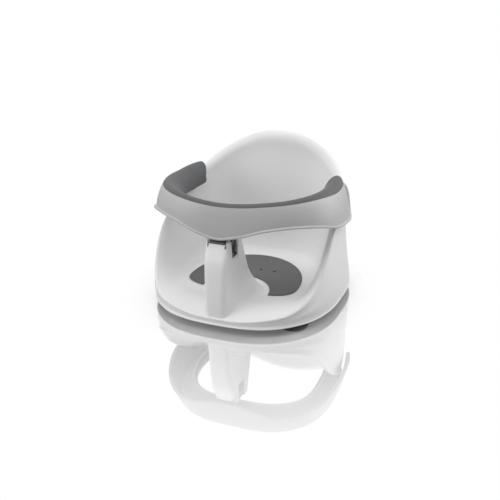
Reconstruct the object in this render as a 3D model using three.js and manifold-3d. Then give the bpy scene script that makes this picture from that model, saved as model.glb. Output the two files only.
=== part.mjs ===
// Baby bath ring: a moulded bucket seat on four suction cups, with a padded safety bar that
// plugs over the side walls and clicks onto the crotch post.
// Millimetres, +Z up, front at -Y, origin on the floor below the middle of the base.

import * as THREE from "three";
import { mergeVertices } from "three/addons/utils/BufferGeometryUtils.js";
import Module from "manifold-3d";

const wasm = await Module();
wasm.setup();

// Clearances and the overrun that every cut uses
const touchGap = 0.3;
const slideGap = 0.6;
const cutOverrun = 2;

// Seat shell, seen from above: the base rim is a rounded square
const rimHalfWidth = 170;
const rimHalfDepth = 168;
const rimPower = 2.6;
const rimShares = [0.976, 0.976, 0.975, 0.973, 0.988, 1, 1, 1, 1, 1, 1, 1, 1];
const rimHeight = 13;
const rimFlange = 3;
const flangeShares = [1, 1, 1, 0.9, 0.5, 0.3, 0.3, 0.3, 0.3, 0.4, 0.5, 0.5, 0.5];
const skirtSwell = 3.5;
const skirtSwellShares = [0, 0, 0, 0.2, 0.8, 1, 1, 1, 1, 0.8, 0.6, 0.5, 0.5];
const rimLedge = 6;
const shellWall = 2.8;
const panHeight = 38.5;
const panShares = [0.655, 0.655, 0.655, 0.655, 0.64, 0.6, 0.56, 0.53, 0.52];
const thighRise = 4;

// The lip's height and its place, from the front (first) to the back (last) in equal angles
const lipFrontHeight = 26;
const lipBackHeight = 260;
const lipRiseShares = [0, 0.003, 0.026, 0.065, 0.172, 0.384, 0.526, 0.621, 0.708, 0.808, 0.904, 0.979, 1];
const lipPlaceShares = [
  0.963, 0.963, 0.965, 0.972, 0.975, 0.965, 0.942, 0.929, 0.931, 0.953, 0.985, 0.985, 0.98,
];
const lipWidth = 13;
const lipWidthShares = [0.27, 0.27, 0.3, 0.42, 0.64, 0.8, 0.8, 0.78, 0.76, 0.85, 0.95, 1, 1];
const coveDepth = 9;
const coveShares = [0, 0, 0, 0, 0.4, 1, 1, 0.9, 0.6, 0.15, 0, 0, 0];

// The bucket's inner wall: how far out and how far up its points lie between pan and lip
const wallOutShares = [0.13, 0.27, 0.45, 0.64, 0.81, 0.93];
const wallUpShares = [0.006, 0.045, 0.17, 0.43, 0.705, 0.89];
const wallSideShares = [
  0.985, 0.985, 0.985, 0.985, 0.985, 0.985, 0.975, 0.955, 0.945, 0.96, 0.975, 0.985, 0.985,
];
const shoulderDrop = 36;
const shoulderDropShare = 0.3;
const shoulderLipShare = 1.1;
const ledgeShare = 0.15;
const lipInShare = 0.75;
const lipFallShares = [-0.45, -0.45, -0.4, -0.1, 0.4, 0.75, 0.8, 0.8, 0.8, 0.8, 0.8, 0.8, 0.8];
const lipEdgeDropShare = 0.3;
const lipRollShare = 0.65;
const lipRollDropShare = 0.8;

// Crotch post, hollow and open below
const postTopHeight = 156;
const postBaseHeight = 20;
const postFrontBase = -159.5;
const postFrontTop = -139;
const postFrontShares = [0, 0.02, 0.14, 0.37, 1];
const postBackBase = -36;
const postBackTop = -87;
const postHalfWidth = 23;
const postFlare = 23;
const postFlareHeight = 92;
const postFlarePower = 2.6;
const postNoseShare = 0.42;
const postCornerShare = 0.3;
const postNoseCornerShare = 0.4;

// The saddle in the post's head, between two cheeks: the fork's tongue lies in it, with a slit
// at both sides of the tongue and a finger scoop below each side window
const saddleDepth = 4;
const tongueHalfWidth = 14;
const tongueSet = 1;
const slitWidth = 2.8;
const slitDrop = 6.5;
const slitDepth = 7;
const scoopRadius = 9;
const scoopDip = 1.6;
const scoopRise = 1;

// Latch: the bar's fork straddles a block in the post's head, its prongs reach down on both sides
// of two sprung buttons, and the buttons poke out through the post's side windows
const latchFront = -122;
const prongDepth = 12;
const prongThickness = 2.2;
const prongReach = 4;
const forkPlate = 3.5;
const forkPlateDepth = 27;
const forkStemHalfWidth = 11;
const forkStemIn = 6.4;
const forkStemDepth = 7.2;
const forkStemDrop = 7.9;
const windowLead = 7.5;
const windowDepth = 23.5;
const windowReach = 7;
const buttonDepth = 6.4;
const buttonTopDrop = 8;
const buttonHeight = 13;
const buttonProud = 1;
const buttonRound = 4;
const buttonFlange = 1.4;
const buttonFlangeThickness = 1.8;
const blockLead = 2.6;
const blockDepth = 19;
const blockReach = 9;
const blockWeb = 1.6;
const blockSide = 1.8;
const blockEar = 6.8;
const blockEarHalfWidth = 4;
const blockEarThickness = 6;
const blockEarScrewIn = 3.4;
const blockScrewCover = 1;
const springRadius = 1.7;
const springWireRadius = 0.35;
const springTurns = 5;
const springBoreDepth = 7;

// Screws
const screwRadius = 1.5;
const screwHeadRadius = 3;
const screwHeadHeight = 1.8;
const barScrewLength = 13;
const blockScrewLength = 7.6;

// Safety bar, seen from above: its top outer edge is a rounded horseshoe
const barHalfWidth = 155;
const barCentre = 20;
const barFrontDepth = 147;
const barBackDepth = 150;
const barPower = 2.34;
const barEndAngle = THREE.MathUtils.degToRad(115);
const barTableStep = THREE.MathUtils.degToRad(15);
const barTopBackHeight = 203;
const barTopRise = 14.5;
const barTopShares = [0.74, 0.84, 0.99, 1, 0.86, 0.5, 0, -0.17, -0.3];
const bandLowHeight = 142;
const bandLowRise = 39;
const bandLowShares = [0.446, 0.641, 0.944, 1, 0.795, 0.397, 0.167, 0.026, -0.026];
const bandFlare = 18;
const bandFlareShares = [0.69, 0.73, 0.82, 0.93, 1.04, 1.05, 1, 0.9, 0.6];
const bandWall = 2.6;
const bandOutShares = [0, 0.13, 0.3, 0.47, 0.61, 0.7, 0.76, 0.79, 0.97, 1, 0.95, 0.82];
const bandDownShares = [0, 0.08, 0.22, 0.4, 0.58, 0.74, 0.86, 0.915, 0.93, 0.965, 0.995, 1];
const barEndRound = 16;
const bandInnerShare = 0.79;
const bandEndShare = 0.45;
const barEndCrowding = 1.2;

// The bar's inner frame and the bumper over it: places across the bar, inwards from its top
// outer edge, and up or down from the same edge
const frameWall = 2.4;
const frameWidth = 28;
const frameDrop = 38;
const frameInShares = [0.13, 0.22, 0.36, 0.5, 0.72, 0.9, 0.98, 0.98, 1.08];
const frameDownShares = [0.12, 0.12, 0.12, 0.13, 0.28, 0.47, 0.68, 0.93, 1];
const frameCrestIn = 10;
const bumperWidth = 36;
const bumperRise = 4;
const bumperDrop = 35.5;
const bumperInShares = [0, 0.08, 0.22, 0.4, 0.62, 0.84, 0.97, 1, 0.94];
const bumperUpShares = [0.06, 0.72, 1, 0.95, 0.72, 0.35, 0.08, 0, 0];
const bumperDownShares = [0, 0, 0, 0.06, 0.2, 0.41, 0.65, 0.9, 1];
const bumperSwellShare = 0.45;
const bumperSwellAlongShares = [0, 0, 0, 0.1, 0.35, 0.7, 1, 1, 1];
const bumperRiseShares = [1, 1, 1, 1.1, 1.4, 2, 2.9, 3.1, 2.9];
const padDropShares = [1, 1, 1, 0.95, 0.86, 0.76, 0.68, 0.63, 0.6];
const padEndRound = 22;
const padEndShare = 0.5;
const endNarrowShare = 0.1;
const saddleThickness = 4;
const saddleAngle = THREE.MathUtils.degToRad(104);
const saddleIn = 6;
const saddleWidth = 8;
const saddleSettle = 0.35;
const bandBossDrop = 8;
const bandBossHeight = 15;
const bandBossThickness = 8;
const bandBossOut = 2;
const bandBossIn = 13.5;
const bandScrewAngles = [-63, -30, 30, 63].map((angle) => THREE.MathUtils.degToRad(angle));
const tongueScrewHalfSpread = 7;

// Seat pad
const padSideMargin = 8.35;
const padFront = -81;
const padWidest = -38;
const padBack = 72;
const padFrontPower = 3;
const padBackPower = 2;
const padThickness = 2.2;
const notchRadius = 62;
const notchCentre = -81;
const drainRadius = 2.5;
const drainPitch = 26;
const drainPlace = 11;
const drainCount = 4;

// Suction cups and the bosses that hold them
const cupRadius = 24;
const cupLip = 0.8;
const cupRing = 2;
const cupHollow = 3;
const cupNeckRadius = 8.5;
const cupNeckHeight = 10.5;
const cupStemRadius = 6.3;
const cupStemLength = 11;
const cupBossRadius = 10.5;
const cupSkirtShare = 0.55;
const cupDomeShare = 0.5;
const frontCupX = 117;
const frontCupY = -94;
const rearCupX = 98;
const rearCupY = 92;

const halfOf = (length) => length / 2;
const mix = THREE.MathUtils.lerp;

// Places worked out from the sizes above
const bossBottom = rimHeight;
const stemTop = bossBottom + cupStemLength;
const padHalfWidth = rimHalfWidth * panShares[3] - padSideMargin;
const saddleFloor = postTopHeight - saddleDepth;
const headRoof = saddleFloor - shellWall;
const buttonLowHeight = saddleFloor - buttonTopDrop - buttonHeight;
const prongBottomHeight = buttonLowHeight - prongReach;
const windowBottomHeight = buttonLowHeight - windowReach;
const blockBottomHeight = buttonLowHeight - blockReach;
const blockFront = latchFront - blockLead;
const prongInner = postHalfWidth - shellWall - slideGap - prongThickness;
const prongOuter = prongInner + prongThickness;
const latchMiddle = latchFront + halfOf(prongDepth);
const buttonMiddle = buttonLowHeight + halfOf(buttonHeight);
const buttonOuter = postHalfWidth + buttonProud;
const blockHalfWidth = prongInner - slideGap;
const blockTop = headRoof - touchGap;
const flangeOuter = blockHalfWidth - blockSide - touchGap;
const flangeInner = flangeOuter - buttonFlangeThickness;
const forkBottom = saddleFloor + touchGap;
const windowFront = latchFront - windowLead;
const windowBack = windowFront + windowDepth;
const barFront = barCentre - barFrontDepth;
const blockScrewPlaces = [blockFront - blockEarScrewIn, blockFront + blockDepth + blockEarScrewIn];
const drainPlaces = Array.from({ length: drainCount }, (_, index) => {
  return (index - halfOf(drainCount - 1)) * drainPitch;
});

// Fineness of the meshes
const smallTurn = 0.001;
const weldDistance = 0.0001;
const shellAngles = 60;
const shellStations = 22;
const postSides = 24;
const postLayers = 9;
const barStations = 36;
const roundSides = 16;
const coilSteps = 8;
const wireSides = 3;

const shellGloss = { color: 0xe4e4e2, roughness: 0.22, metalness: 0 };
const bandGrey = { color: 0xa8a9ab, roughness: 0.42, metalness: 0 };
const softGrey = { color: 0x5f6063, roughness: 0.7, metalness: 0 };
const padGrey = { color: 0x6a6b6d, roughness: 0.75, metalness: 0 };
const innerPlastic = { color: 0xc8c9ca, roughness: 0.45, metalness: 0 };
const steel = { color: 0xb9bbbd, roughness: 0.3, metalness: 1 };

// Reads a table of equally spaced values with a smooth curve, mirrored at both of its ends.
function smoothTable(shares, place) {
  const last = shares.length - 1;
  const at = (index) => shares[index < 0 ? -index : index > last ? 2 * last - index : index];
  const first = Math.min(Math.floor(place), last - 1);
  const way = place - first;
  const [before, start, end, after] = [at(first - 1), at(first), at(first + 1), at(first + 2)];
  const bend = 2 * before - 5 * start + 4 * end - after;
  const twist = 3 * (start - end) + after - before;
  return start + halfOf(way * (end - before + way * (bend + way * twist)));
}

// The angle away from the front, between zero and half a turn.
function turnFromFront(angle) {
  return Math.abs(Math.atan2(Math.sin(angle), Math.cos(angle)));
}

function roundedRadius(angle, halfWidth, halfDepth, power) {
  const across = Math.pow(Math.abs(Math.sin(angle)) / halfWidth, power);
  const along = Math.pow(Math.abs(Math.cos(angle)) / halfDepth, power);
  return Math.pow(across + along, -1 / power);
}

// A geometry from corner points and triangles.
function geometryOf(points, triangles) {
  const geometry = new THREE.BufferGeometry();
  geometry.setAttribute("position", new THREE.Float32BufferAttribute(points.flat(), 3));
  geometry.setIndex(triangles.flat());
  return geometry;
}

// A closed geometry as a solid with its faces turned out.
function solidOf(geometry) {
  const bare = geometry.clone();
  bare.deleteAttribute("normal");
  bare.deleteAttribute("uv");
  const merged = mergeVertices(bare, weldDistance);
  const vertProperties = new Float32Array(merged.attributes.position.array);
  const triVerts = new Uint32Array(merged.index.array);
  if (volumeOf(vertProperties, triVerts) < 0) {
    triVerts.reverse();
  }
  return new wasm.Manifold(new wasm.Mesh({ numProp: 3, vertProperties, triVerts }));
}

function volumeOf(vertices, triangles) {
  const corner = (index) => new THREE.Vector3().fromArray(vertices, 3 * index);
  let volume = 0;
  for (let index = 0; index < triangles.length; index += 3) {
    const [first, second, third] = [0, 1, 2].map((step) => corner(triangles[index + step]));
    volume += first.dot(second.cross(third));
  }
  return volume;
}

function geometryFrom(solid) {
  const mesh = solid.getMesh();
  const geometry = new THREE.BufferGeometry();
  geometry.setAttribute("position", new THREE.BufferAttribute(new Float32Array(mesh.vertProperties), 3));
  geometry.setIndex(new THREE.BufferAttribute(new Uint32Array(mesh.triVerts), 1));
  return geometry;
}

const part = new THREE.Group();

function addPiece(name, solid, look) {
  const mesh = new THREE.Mesh(geometryFrom(solid), new THREE.MeshStandardMaterial(look));
  mesh.name = name;
  part.add(mesh);
}

// A solid whose half sections differ with the angle: each starts and ends on the axis.
function turnedSolid(sectionAt, angleCount) {
  const sections = [];
  for (let index = 0; index < angleCount; index += 1) {
    sections.push(sectionAt(2 * Math.PI * index / angleCount));
  }
  const inner = sections[0].length - 2;
  const points = [[0, 0, sections[0][0][1]], [0, 0, sections[0][inner + 1][1]]];
  sections.forEach((section, index) => {
    const angle = 2 * Math.PI * index / angleCount;
    for (const [radius, height] of section.slice(1, -1)) {
      points.push([radius * Math.sin(angle), -radius * Math.cos(angle), height]);
    }
  });
  const triangles = [];
  for (let index = 0; index < angleCount; index += 1) {
    const here = 2 + index * inner;
    const next = 2 + ((index + 1) % angleCount) * inner;
    triangles.push([0, next, here]);
    triangles.push([1, here + inner - 1, next + inner - 1]);
    for (let step = 0; step < inner - 1; step += 1) {
      triangles.push([here + step, next + step, next + step + 1]);
      triangles.push([here + step, next + step + 1, here + step + 1]);
    }
  }
  return solidOf(geometryOf(points, triangles));
}

// A solid through a stack of rings that have the same number of points.
function loftSolid(rings) {
  const count = rings[0].length;
  const middle = (ring) => [0, 1, 2].map((axis) => ring.reduce((sum, point) => sum + point[axis], 0) / count);
  const points = [...rings.flat(), middle(rings[0]), middle(rings[rings.length - 1])];
  const [bottom, top] = [points.length - 2, points.length - 1];
  const triangles = [];
  for (let side = 0; side < count; side += 1) {
    const next = (side + 1) % count;
    triangles.push([bottom, next, side]);
    triangles.push([top, (rings.length - 1) * count + side, (rings.length - 1) * count + next]);
    for (let layer = 0; layer < rings.length - 1; layer += 1) {
      const low = layer * count;
      const high = low + count;
      triangles.push([low + side, low + next, high + next]);
      triangles.push([low + side, high + next, high + side]);
    }
  }
  return solidOf(geometryOf(points, triangles));
}

// A solid between two lines of points, one on each face, that are carried along the same way.
function plateSolid(rows) {
  const count = rows[0].front.length;
  const points = rows.flatMap((row) => [...row.front, ...row.back]);
  const front = (row, step) => 2 * count * row + step;
  const back = (row, step) => front(row, step) + count;
  const quad = (first, second, third, fourth) => {
    triangles.push([first, second, third], [first, third, fourth]);
  };
  const triangles = [];
  const last = rows.length - 1;
  for (let row = 0; row < last; row += 1) {
    for (let step = 0; step < count - 1; step += 1) {
      quad(front(row, step), front(row, step + 1), front(row + 1, step + 1), front(row + 1, step));
      quad(back(row, step), back(row + 1, step), back(row + 1, step + 1), back(row, step + 1));
    }
    quad(front(row, 0), front(row + 1, 0), back(row + 1, 0), back(row, 0));
    quad(front(row, count - 1), back(row, count - 1), back(row + 1, count - 1), front(row + 1, count - 1));
  }
  for (let step = 0; step < count - 1; step += 1) {
    quad(front(0, step), back(0, step), back(0, step + 1), front(0, step + 1));
    quad(front(last, step), front(last, step + 1), back(last, step + 1), back(last, step));
  }
  return solidOf(geometryOf(points, triangles));
}

function inOrder(first, second) {
  return [Math.min(first, second), Math.max(first, second)];
}

// A block between two opposite corners.
function blockSolid(low, high) {
  const size = high.map((value, axis) => value - low[axis]);
  const box = new THREE.BoxGeometry(...size);
  box.translate(...high.map((value, axis) => halfOf(value + low[axis])));
  return solidOf(box);
}

function uprightCylinder(radius, low, high, x, y) {
  const cylinder = new THREE.CylinderGeometry(radius, radius, high - low, roundSides);
  cylinder.rotateX(halfOf(Math.PI));
  cylinder.translate(x, y, halfOf(low + high));
  return solidOf(cylinder);
}

function sidewaysCylinder(radius, low, high, y, z) {
  const cylinder = new THREE.CylinderGeometry(radius, radius, high - low, roundSides);
  cylinder.rotateZ(halfOf(Math.PI));
  cylinder.translate(halfOf(low + high), y, z);
  return solidOf(cylinder);
}

function lengthwaysCylinder(radius, front, back, x, z) {
  const cylinder = new THREE.CylinderGeometry(radius, radius, back - front, roundSides);
  cylinder.translate(x, halfOf(front + back), z);
  return solidOf(cylinder);
}

function lathedSolid(profile) {
  const points = profile.map(([radius, height]) => new THREE.Vector2(radius, height));
  const lathe = new THREE.LatheGeometry(points, roundSides);
  lathe.rotateX(halfOf(Math.PI));
  return solidOf(lathe);
}

// Points beside a line in a plane, on its left at the given distance.
function besideLine(line, distance) {
  return line.map(([x, y], index) => {
    const [fromX, fromY] = line[Math.max(index - 1, 0)];
    const [toX, toY] = line[Math.min(index + 1, line.length - 1)];
    const length = Math.hypot(toX - fromX, toY - fromY);
    return [x - distance * (toY - fromY) / length, y + distance * (toX - fromX) / length];
  });
}

function smoothLine(points, count) {
  const curve = new THREE.SplineCurve(points.map(([x, y]) => new THREE.Vector2(x, y)));
  return curve.getPoints(count).map((point) => [point.x, point.y]);
}

// Seat shell

function shellTable(shares, angle) {
  return smoothTable(shares, (shares.length - 1) * turnFromFront(angle) / Math.PI);
}

function lipHeightAt(angle) {
  return mix(lipFrontHeight, lipBackHeight, shellTable(lipRiseShares, angle));
}

// The shell's surface along one half plane, from the middle of the pan over the lip to the rim.
function shellLine(angle) {
  const plain = roundedRadius(angle, rimHalfWidth, rimHalfDepth, rimPower);
  const rim = plain * shellTable(rimShares, angle);
  const lipHeight = lipHeightAt(angle);
  const lip = lipWidth * shellTable(lipWidthShares, angle);
  const crest = plain * shellTable(lipPlaceShares, angle) - halfOf(lip);
  const pan = plain * shellTable(panShares, angle);
  const cove = coveDepth * shellTable(coveShares, angle);
  const thigh = thighRise * Math.pow(Math.max(Math.cos(angle), 0), 2);
  const drop = lipHeight - rimHeight;
  const shoulderFall = Math.max(lip * shoulderLipShare, Math.min(shoulderDrop, shoulderDropShare * drop));
  const shoulder = lipHeight - shoulderFall;
  const ledge = rimHeight + shellWall + Math.min(rimLedge, ledgeShare * drop);
  const wall = rim * shellTable(wallSideShares, angle);
  const innerEdge = crest - lip * lipInShare;
  const edgeHeight = lipHeight - lip * shellTable(lipFallShares, angle);
  const points = [[0, panHeight], [halfOf(pan), panHeight], [pan, panHeight]];
  wallOutShares.forEach((outShare, index) => {
    const hump = thigh * Math.sin(Math.PI * outShare);
    points.push([mix(pan, innerEdge, outShare), mix(panHeight, edgeHeight, wallUpShares[index]) + hump]);
  });
  points.push([innerEdge, edgeHeight]);
  points.push([crest, lipHeight]);
  points.push([crest + halfOf(lip), lipHeight - lip * lipEdgeDropShare]);
  points.push([crest + lip * lipRollShare - halfOf(cove), lipHeight - lip * lipRollDropShare - halfOf(cove)]);
  points.push([wall, shoulder - cove]);
  const swell = skirtSwell * shellTable(skirtSwellShares, angle);
  points.push([wall + swell, halfOf(shoulder - cove + ledge)]);
  points.push([rim - rimFlange * shellTable(flangeShares, angle), ledge]);
  points.push([rim, rimHeight + shellWall]);
  return points;
}

// The shell's half section: its underside from the axis out to the rim, and its surface back.
function shellSection(angle) {
  const surface = smoothLine(shellLine(angle), shellStations);
  const under = besideLine(surface, -shellWall);
  under[0] = [0, panHeight - shellWall];
  under[under.length - 1] = [surface[surface.length - 1][0], rimHeight];
  return [...under, ...surface.reverse()];
}

// Everything between the bosses' lower ends and the middle of the shell's wall.
function filledSection(angle) {
  const surface = smoothLine(shellLine(angle), shellStations);
  const wall = besideLine(surface, -halfOf(shellWall));
  const edge = wall[wall.length - 1][0];
  wall[0] = [0, panHeight - halfOf(shellWall)];
  return [[0, bossBottom], [edge, bossBottom], ...wall.reverse()];
}

// The post's outline at a height, drawn in by an inset for its hollow.
function postRing(height, inset) {
  const rise = (height - postBaseHeight) / (postTopHeight - postBaseHeight);
  const lean = smoothTable(postFrontShares, (postFrontShares.length - 1) * Math.max(rise, 0));
  const front = mix(postFrontBase, postFrontTop, lean) + inset;
  const back = mix(postBackBase, postBackTop, rise) - inset;
  const flareWay = Math.min(Math.max((postFlareHeight - height) / (postFlareHeight - panHeight), 0), 1);
  const flare = postFlare * Math.pow(flareWay, postFlarePower);
  const ring = [];
  for (let side = 0; side < postSides; side += 1) {
    const angle = 2 * Math.PI * side / postSides;
    const cornerShare = Math.cos(angle) > 0 ? postNoseCornerShare : postCornerShare;
    const across = Math.sign(Math.sin(angle)) * Math.pow(Math.abs(Math.sin(angle)), cornerShare);
    const along = Math.sign(Math.cos(angle)) * Math.pow(Math.abs(Math.cos(angle)), cornerShare);
    const nose = mix(0, 1, THREE.MathUtils.smoothstep(-along, -1, postNoseShare));
    const halfWidth = postHalfWidth + flare * nose - inset;
    ring.push([across * halfWidth, mix(front, back, halfOf(1 - along)), height]);
  }
  return ring;
}

function postSolid(inset, low, high) {
  const rings = [];
  for (let layer = 0; layer <= postLayers; layer += 1) {
    rings.push(postRing(mix(low, high, layer / postLayers), inset));
  }
  return loftSolid(rings);
}

const cups = [
  ["front_left", -frontCupX, frontCupY],
  ["front_right", frontCupX, frontCupY],
  ["rear_left", -rearCupX, rearCupY],
  ["rear_right", rearCupX, rearCupY],
];

function cupBosses() {
  const filled = turnedSolid(filledSection, shellAngles);
  return cups.map(([, x, y]) => {
    return uprightCylinder(cupBossRadius, bossBottom, lipBackHeight, x, y).intersect(filled);
  });
}

// The side window that one button pokes through, open above, with its finger scoop.
function windowSolid(side) {
  const [left, right] = inOrder(side * prongInner, side * (postHalfWidth + cutOverrun));
  const low = [left, windowFront, windowBottomHeight];
  const window = blockSolid(low, [right, windowBack, postTopHeight + cutOverrun]);
  const away = side * (postHalfWidth + scoopRadius - scoopDip);
  const height = windowBottomHeight + scoopRise;
  return window.add(lengthwaysCylinder(scoopRadius, windowFront, windowBack, away, height));
}

// The slot in the post's top that one prong goes down through.
function prongSlot(side) {
  const [left, right] = inOrder(side * (prongInner - slideGap), side * (prongOuter + slideGap));
  const low = [left, latchFront - slideGap, headRoof - cutOverrun];
  const high = [right, latchFront + prongDepth + slideGap, postTopHeight + cutOverrun];
  return blockSolid(low, high);
}

// The saddle's room: narrow round the tongue in front, wider round the fork's plate behind it.
function saddleRoom() {
  const high = postTopHeight + cutOverrun;
  const narrow = tongueHalfWidth + slideGap;
  const wide = prongOuter + slideGap;
  const plateFront = latchFront - slideGap;
  const plateBack = latchFront + forkPlateDepth + slideGap;
  const front = blockSolid([-narrow, postFrontTop - cutOverrun, saddleFloor], [narrow, latchFront, high]);
  return front.add(blockSolid([-wide, plateFront, saddleFloor], [wide, plateBack, high]));
}

// The slit between the head's front and one cheek.
function cheekSlit(side) {
  const inner = tongueHalfWidth + slideGap;
  const [left, right] = inOrder(side * inner, side * (inner + slitWidth));
  const low = [left, postFrontTop - cutOverrun, saddleFloor - slitDrop];
  return blockSolid(low, [right, postFrontTop + slitDepth, postTopHeight + cutOverrun]);
}

// The largest of a solid's separate pieces, without the slivers that a cut can leave.
function mainPiece(solid) {
  return solid.decompose().sort((first, second) => second.volume() - first.volume())[0];
}

function seatShell() {
  let shell = turnedSolid(shellSection, shellAngles);
  shell = shell.add(postSolid(0, postBaseHeight, postTopHeight));
  shell = shell.subtract(postSolid(shellWall, postBaseHeight - cutOverrun, headRoof));
  for (const boss of cupBosses()) {
    shell = shell.add(boss);
  }
  for (const [, x, y] of cups) {
    const bore = uprightCylinder(cupStemRadius + touchGap, bossBottom - cutOverrun, stemTop + touchGap, x, y);
    shell = shell.subtract(bore);
  }
  for (const side of [-1, 1]) {
    shell = shell.subtract(windowSolid(side)).subtract(prongSlot(side)).subtract(cheekSlit(side));
  }
  shell = shell.subtract(saddleRoom());
  const drainBottom = panHeight - shellWall - cutOverrun;
  for (const x of drainPlaces) {
    shell = shell.subtract(uprightCylinder(drainRadius, drainBottom, panHeight + cutOverrun, x, drainPlace));
  }
  for (const y of blockScrewPlaces) {
    const boreTop = saddleFloor - blockScrewCover;
    const bore = uprightCylinder(screwRadius + touchGap, blockTop - cutOverrun, boreTop, 0, y);
    shell = shell.subtract(bore);
  }
  return mainPiece(shell);
}

// Seat pad

function padOutline() {
  const shape = new THREE.Shape();
  const count = 2 * roundSides;
  for (let index = 0; index < count; index += 1) {
    const angle = 2 * Math.PI * index / count;
    const ahead = Math.cos(angle) > 0;
    const depth = ahead ? padWidest - padFront : padBack - padWidest;
    const radius = roundedRadius(angle, padHalfWidth, depth, ahead ? padFrontPower : padBackPower);
    const [x, y] = [radius * Math.sin(angle), padWidest - radius * Math.cos(angle)];
    if (index === 0) {
      shape.moveTo(x, y);
    } else {
      shape.lineTo(x, y);
    }
  }
  return shape;
}

function seatPad() {
  const slab = new THREE.ExtrudeGeometry(padOutline(), { depth: padThickness, bevelEnabled: false });
  slab.translate(0, 0, panHeight + touchGap);
  const [low, high] = [panHeight - cutOverrun, panHeight + padThickness + cutOverrun];
  let pad = solidOf(slab).subtract(uprightCylinder(notchRadius, low, high, 0, notchCentre));
  for (const x of drainPlaces) {
    pad = pad.subtract(uprightCylinder(drainRadius, low, high, x, drainPlace));
  }
  return pad;
}

// Suction cups

function suctionCup(x, y) {
  const shoulder = bossBottom - touchGap;
  const profile = [
    [0, cupHollow],
    [cupNeckRadius, cupHollow],
    [cupRadius - cupLip - cupRing, 0],
    [cupRadius - cupLip, 0],
    [cupRadius, cupLip],
    [mix(cupNeckRadius, cupRadius, cupSkirtShare), mix(cupLip, cupNeckHeight, cupDomeShare)],
    [cupNeckRadius, cupNeckHeight],
    [cupBossRadius, shoulder],
    [cupStemRadius, shoulder],
    [cupStemRadius, stemTop],
    [0, stemTop],
  ];
  return lathedSolid(profile).translate(x, y, 0);
}

// Safety bar

function barTable(shares, angle) {
  return smoothTable(shares, Math.abs(angle) / barTableStep);
}

function barPoint(angle) {
  const depth = Math.cos(angle) > 0 ? barFrontDepth : barBackDepth;
  const radius = roundedRadius(angle, barHalfWidth, depth, barPower);
  return new THREE.Vector2(radius * Math.sin(angle), barCentre - radius * Math.cos(angle));
}

// The direction straight out of the bar, seen from above.
function barOutward(angle) {
  const along = barPoint(angle + smallTurn).sub(barPoint(angle - smallTurn)).normalize();
  return new THREE.Vector2(along.y, -along.x);
}

function barTopAt(angle) {
  return barTopBackHeight + barTopRise * barTable(barTopShares, angle);
}

function barLowAt(angle) {
  return bandLowHeight + bandLowRise * barTable(bandLowShares, angle);
}

// Carries a point given across the bar and up from its top outer edge to its place in space.
function onBar(angle, across, up) {
  const place = barPoint(angle).addScaledVector(barOutward(angle), across);
  return [place.x, place.y, barTopAt(angle) + up];
}

// How much of a section is left near the bar's two rounded ends: all of it further away.
function endShare(angle, round, least) {
  const left = (barEndAngle - Math.abs(angle)) * barHalfWidth;
  const way = Math.min(Math.max(1 - left / round, 0), 1);
  return mix(least, 1, Math.sqrt(1 - way * way));
}

function barAngles() {
  const angles = [];
  for (let station = 0; station <= barStations; station += 1) {
    const way = 2 * station / barStations - 1;
    angles.push(barEndAngle * Math.sin(way * barEndCrowding) / Math.sin(barEndCrowding));
  }
  return angles;
}

// Carries a section's front and back lines along the bar.
function sweptBar(sectionAt) {
  const rows = barAngles().map((angle) => {
    const { front, back } = sectionAt(angle);
    const place = ([across, up]) => onBar(angle, across, up);
    return { front: front.map(place), back: back.map(place) };
  });
  return plateSolid(rows);
}

function bandSection(angle) {
  const flare = bandFlare * barTable(bandFlareShares, angle);
  const height = (barTopAt(angle) - barLowAt(angle)) * endShare(angle, barEndRound, bandEndShare);
  const front = bandOutShares.map((share, index) => [flare * share, -height * bandDownShares[index]]);
  const back = bandDownShares.map((share, index) => {
    const out = flare * Math.min(bandOutShares[index], bandInnerShare);
    return [out - bandWall, -height * share];
  });
  return { front, back };
}

// How far the frame's roof lies below the bar's top outer edge.
function crestDropAt(angle) {
  return frameDrop * barTable(padDropShares, angle) * Math.min(...frameDownShares);
}

function frameLine(angle) {
  const share = endShare(angle, padEndRound, padEndShare);
  const width = frameWidth * mix(1, share, endNarrowShare);
  const drop = frameDrop * barTable(padDropShares, angle) * share;
  return frameInShares.map((inShare, index) => [-width * inShare, -drop * frameDownShares[index]]);
}

function frameSection(angle) {
  const front = frameLine(angle);
  return { front, back: besideLine(front, frameWall) };
}

function bumperSection(angle) {
  const share = endShare(angle, padEndRound, padEndShare);
  const width = bumperWidth * mix(1, share, endNarrowShare);
  const rise = bumperRise * barTable(bumperRiseShares, angle);
  const drop = bumperDrop * barTable(padDropShares, angle) * share;
  const swell = bumperSwellShare * barTable(bumperSwellAlongShares, angle);
  const front = bumperInShares.map((inShare, index) => {
    const swollenShare = inShare + swell * inShare * (1 - inShare);
    return [-width * swollenShare, rise * bumperUpShares[index] - drop * bumperDownShares[index]];
  });
  const back = besideLine(frameLine(angle), -touchGap);
  back[0] = [-bandWall, touchGap];
  front[0] = [0, touchGap];
  return { front, back };
}

// A block that stands across the bar, between two places across it and two heights.
function crossBlock(angle, thickness, outer, inner, low, high) {
  const outward = barOutward(angle);
  const along = new THREE.Vector2(-outward.y, outward.x);
  const corner = (across, aside, height) => {
    const place = barPoint(angle).addScaledVector(outward, across).addScaledVector(along, aside);
    return [place.x, place.y, height];
  };
  const half = halfOf(thickness);
  const ring = (height) => [
    corner(inner, -half, height),
    corner(outer, -half, height),
    corner(outer, half, height),
    corner(inner, half, height),
  ];
  return loftSolid([ring(low), ring(high)]);
}

// Where the screws through the frame's crest stand, seen from above.
function crestPlace(angle) {
  const [x, y] = onBar(angle, -frameCrestIn, 0);
  return [x, y];
}

const frontCrest = barTopAt(0) - crestDropAt(0);

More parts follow.
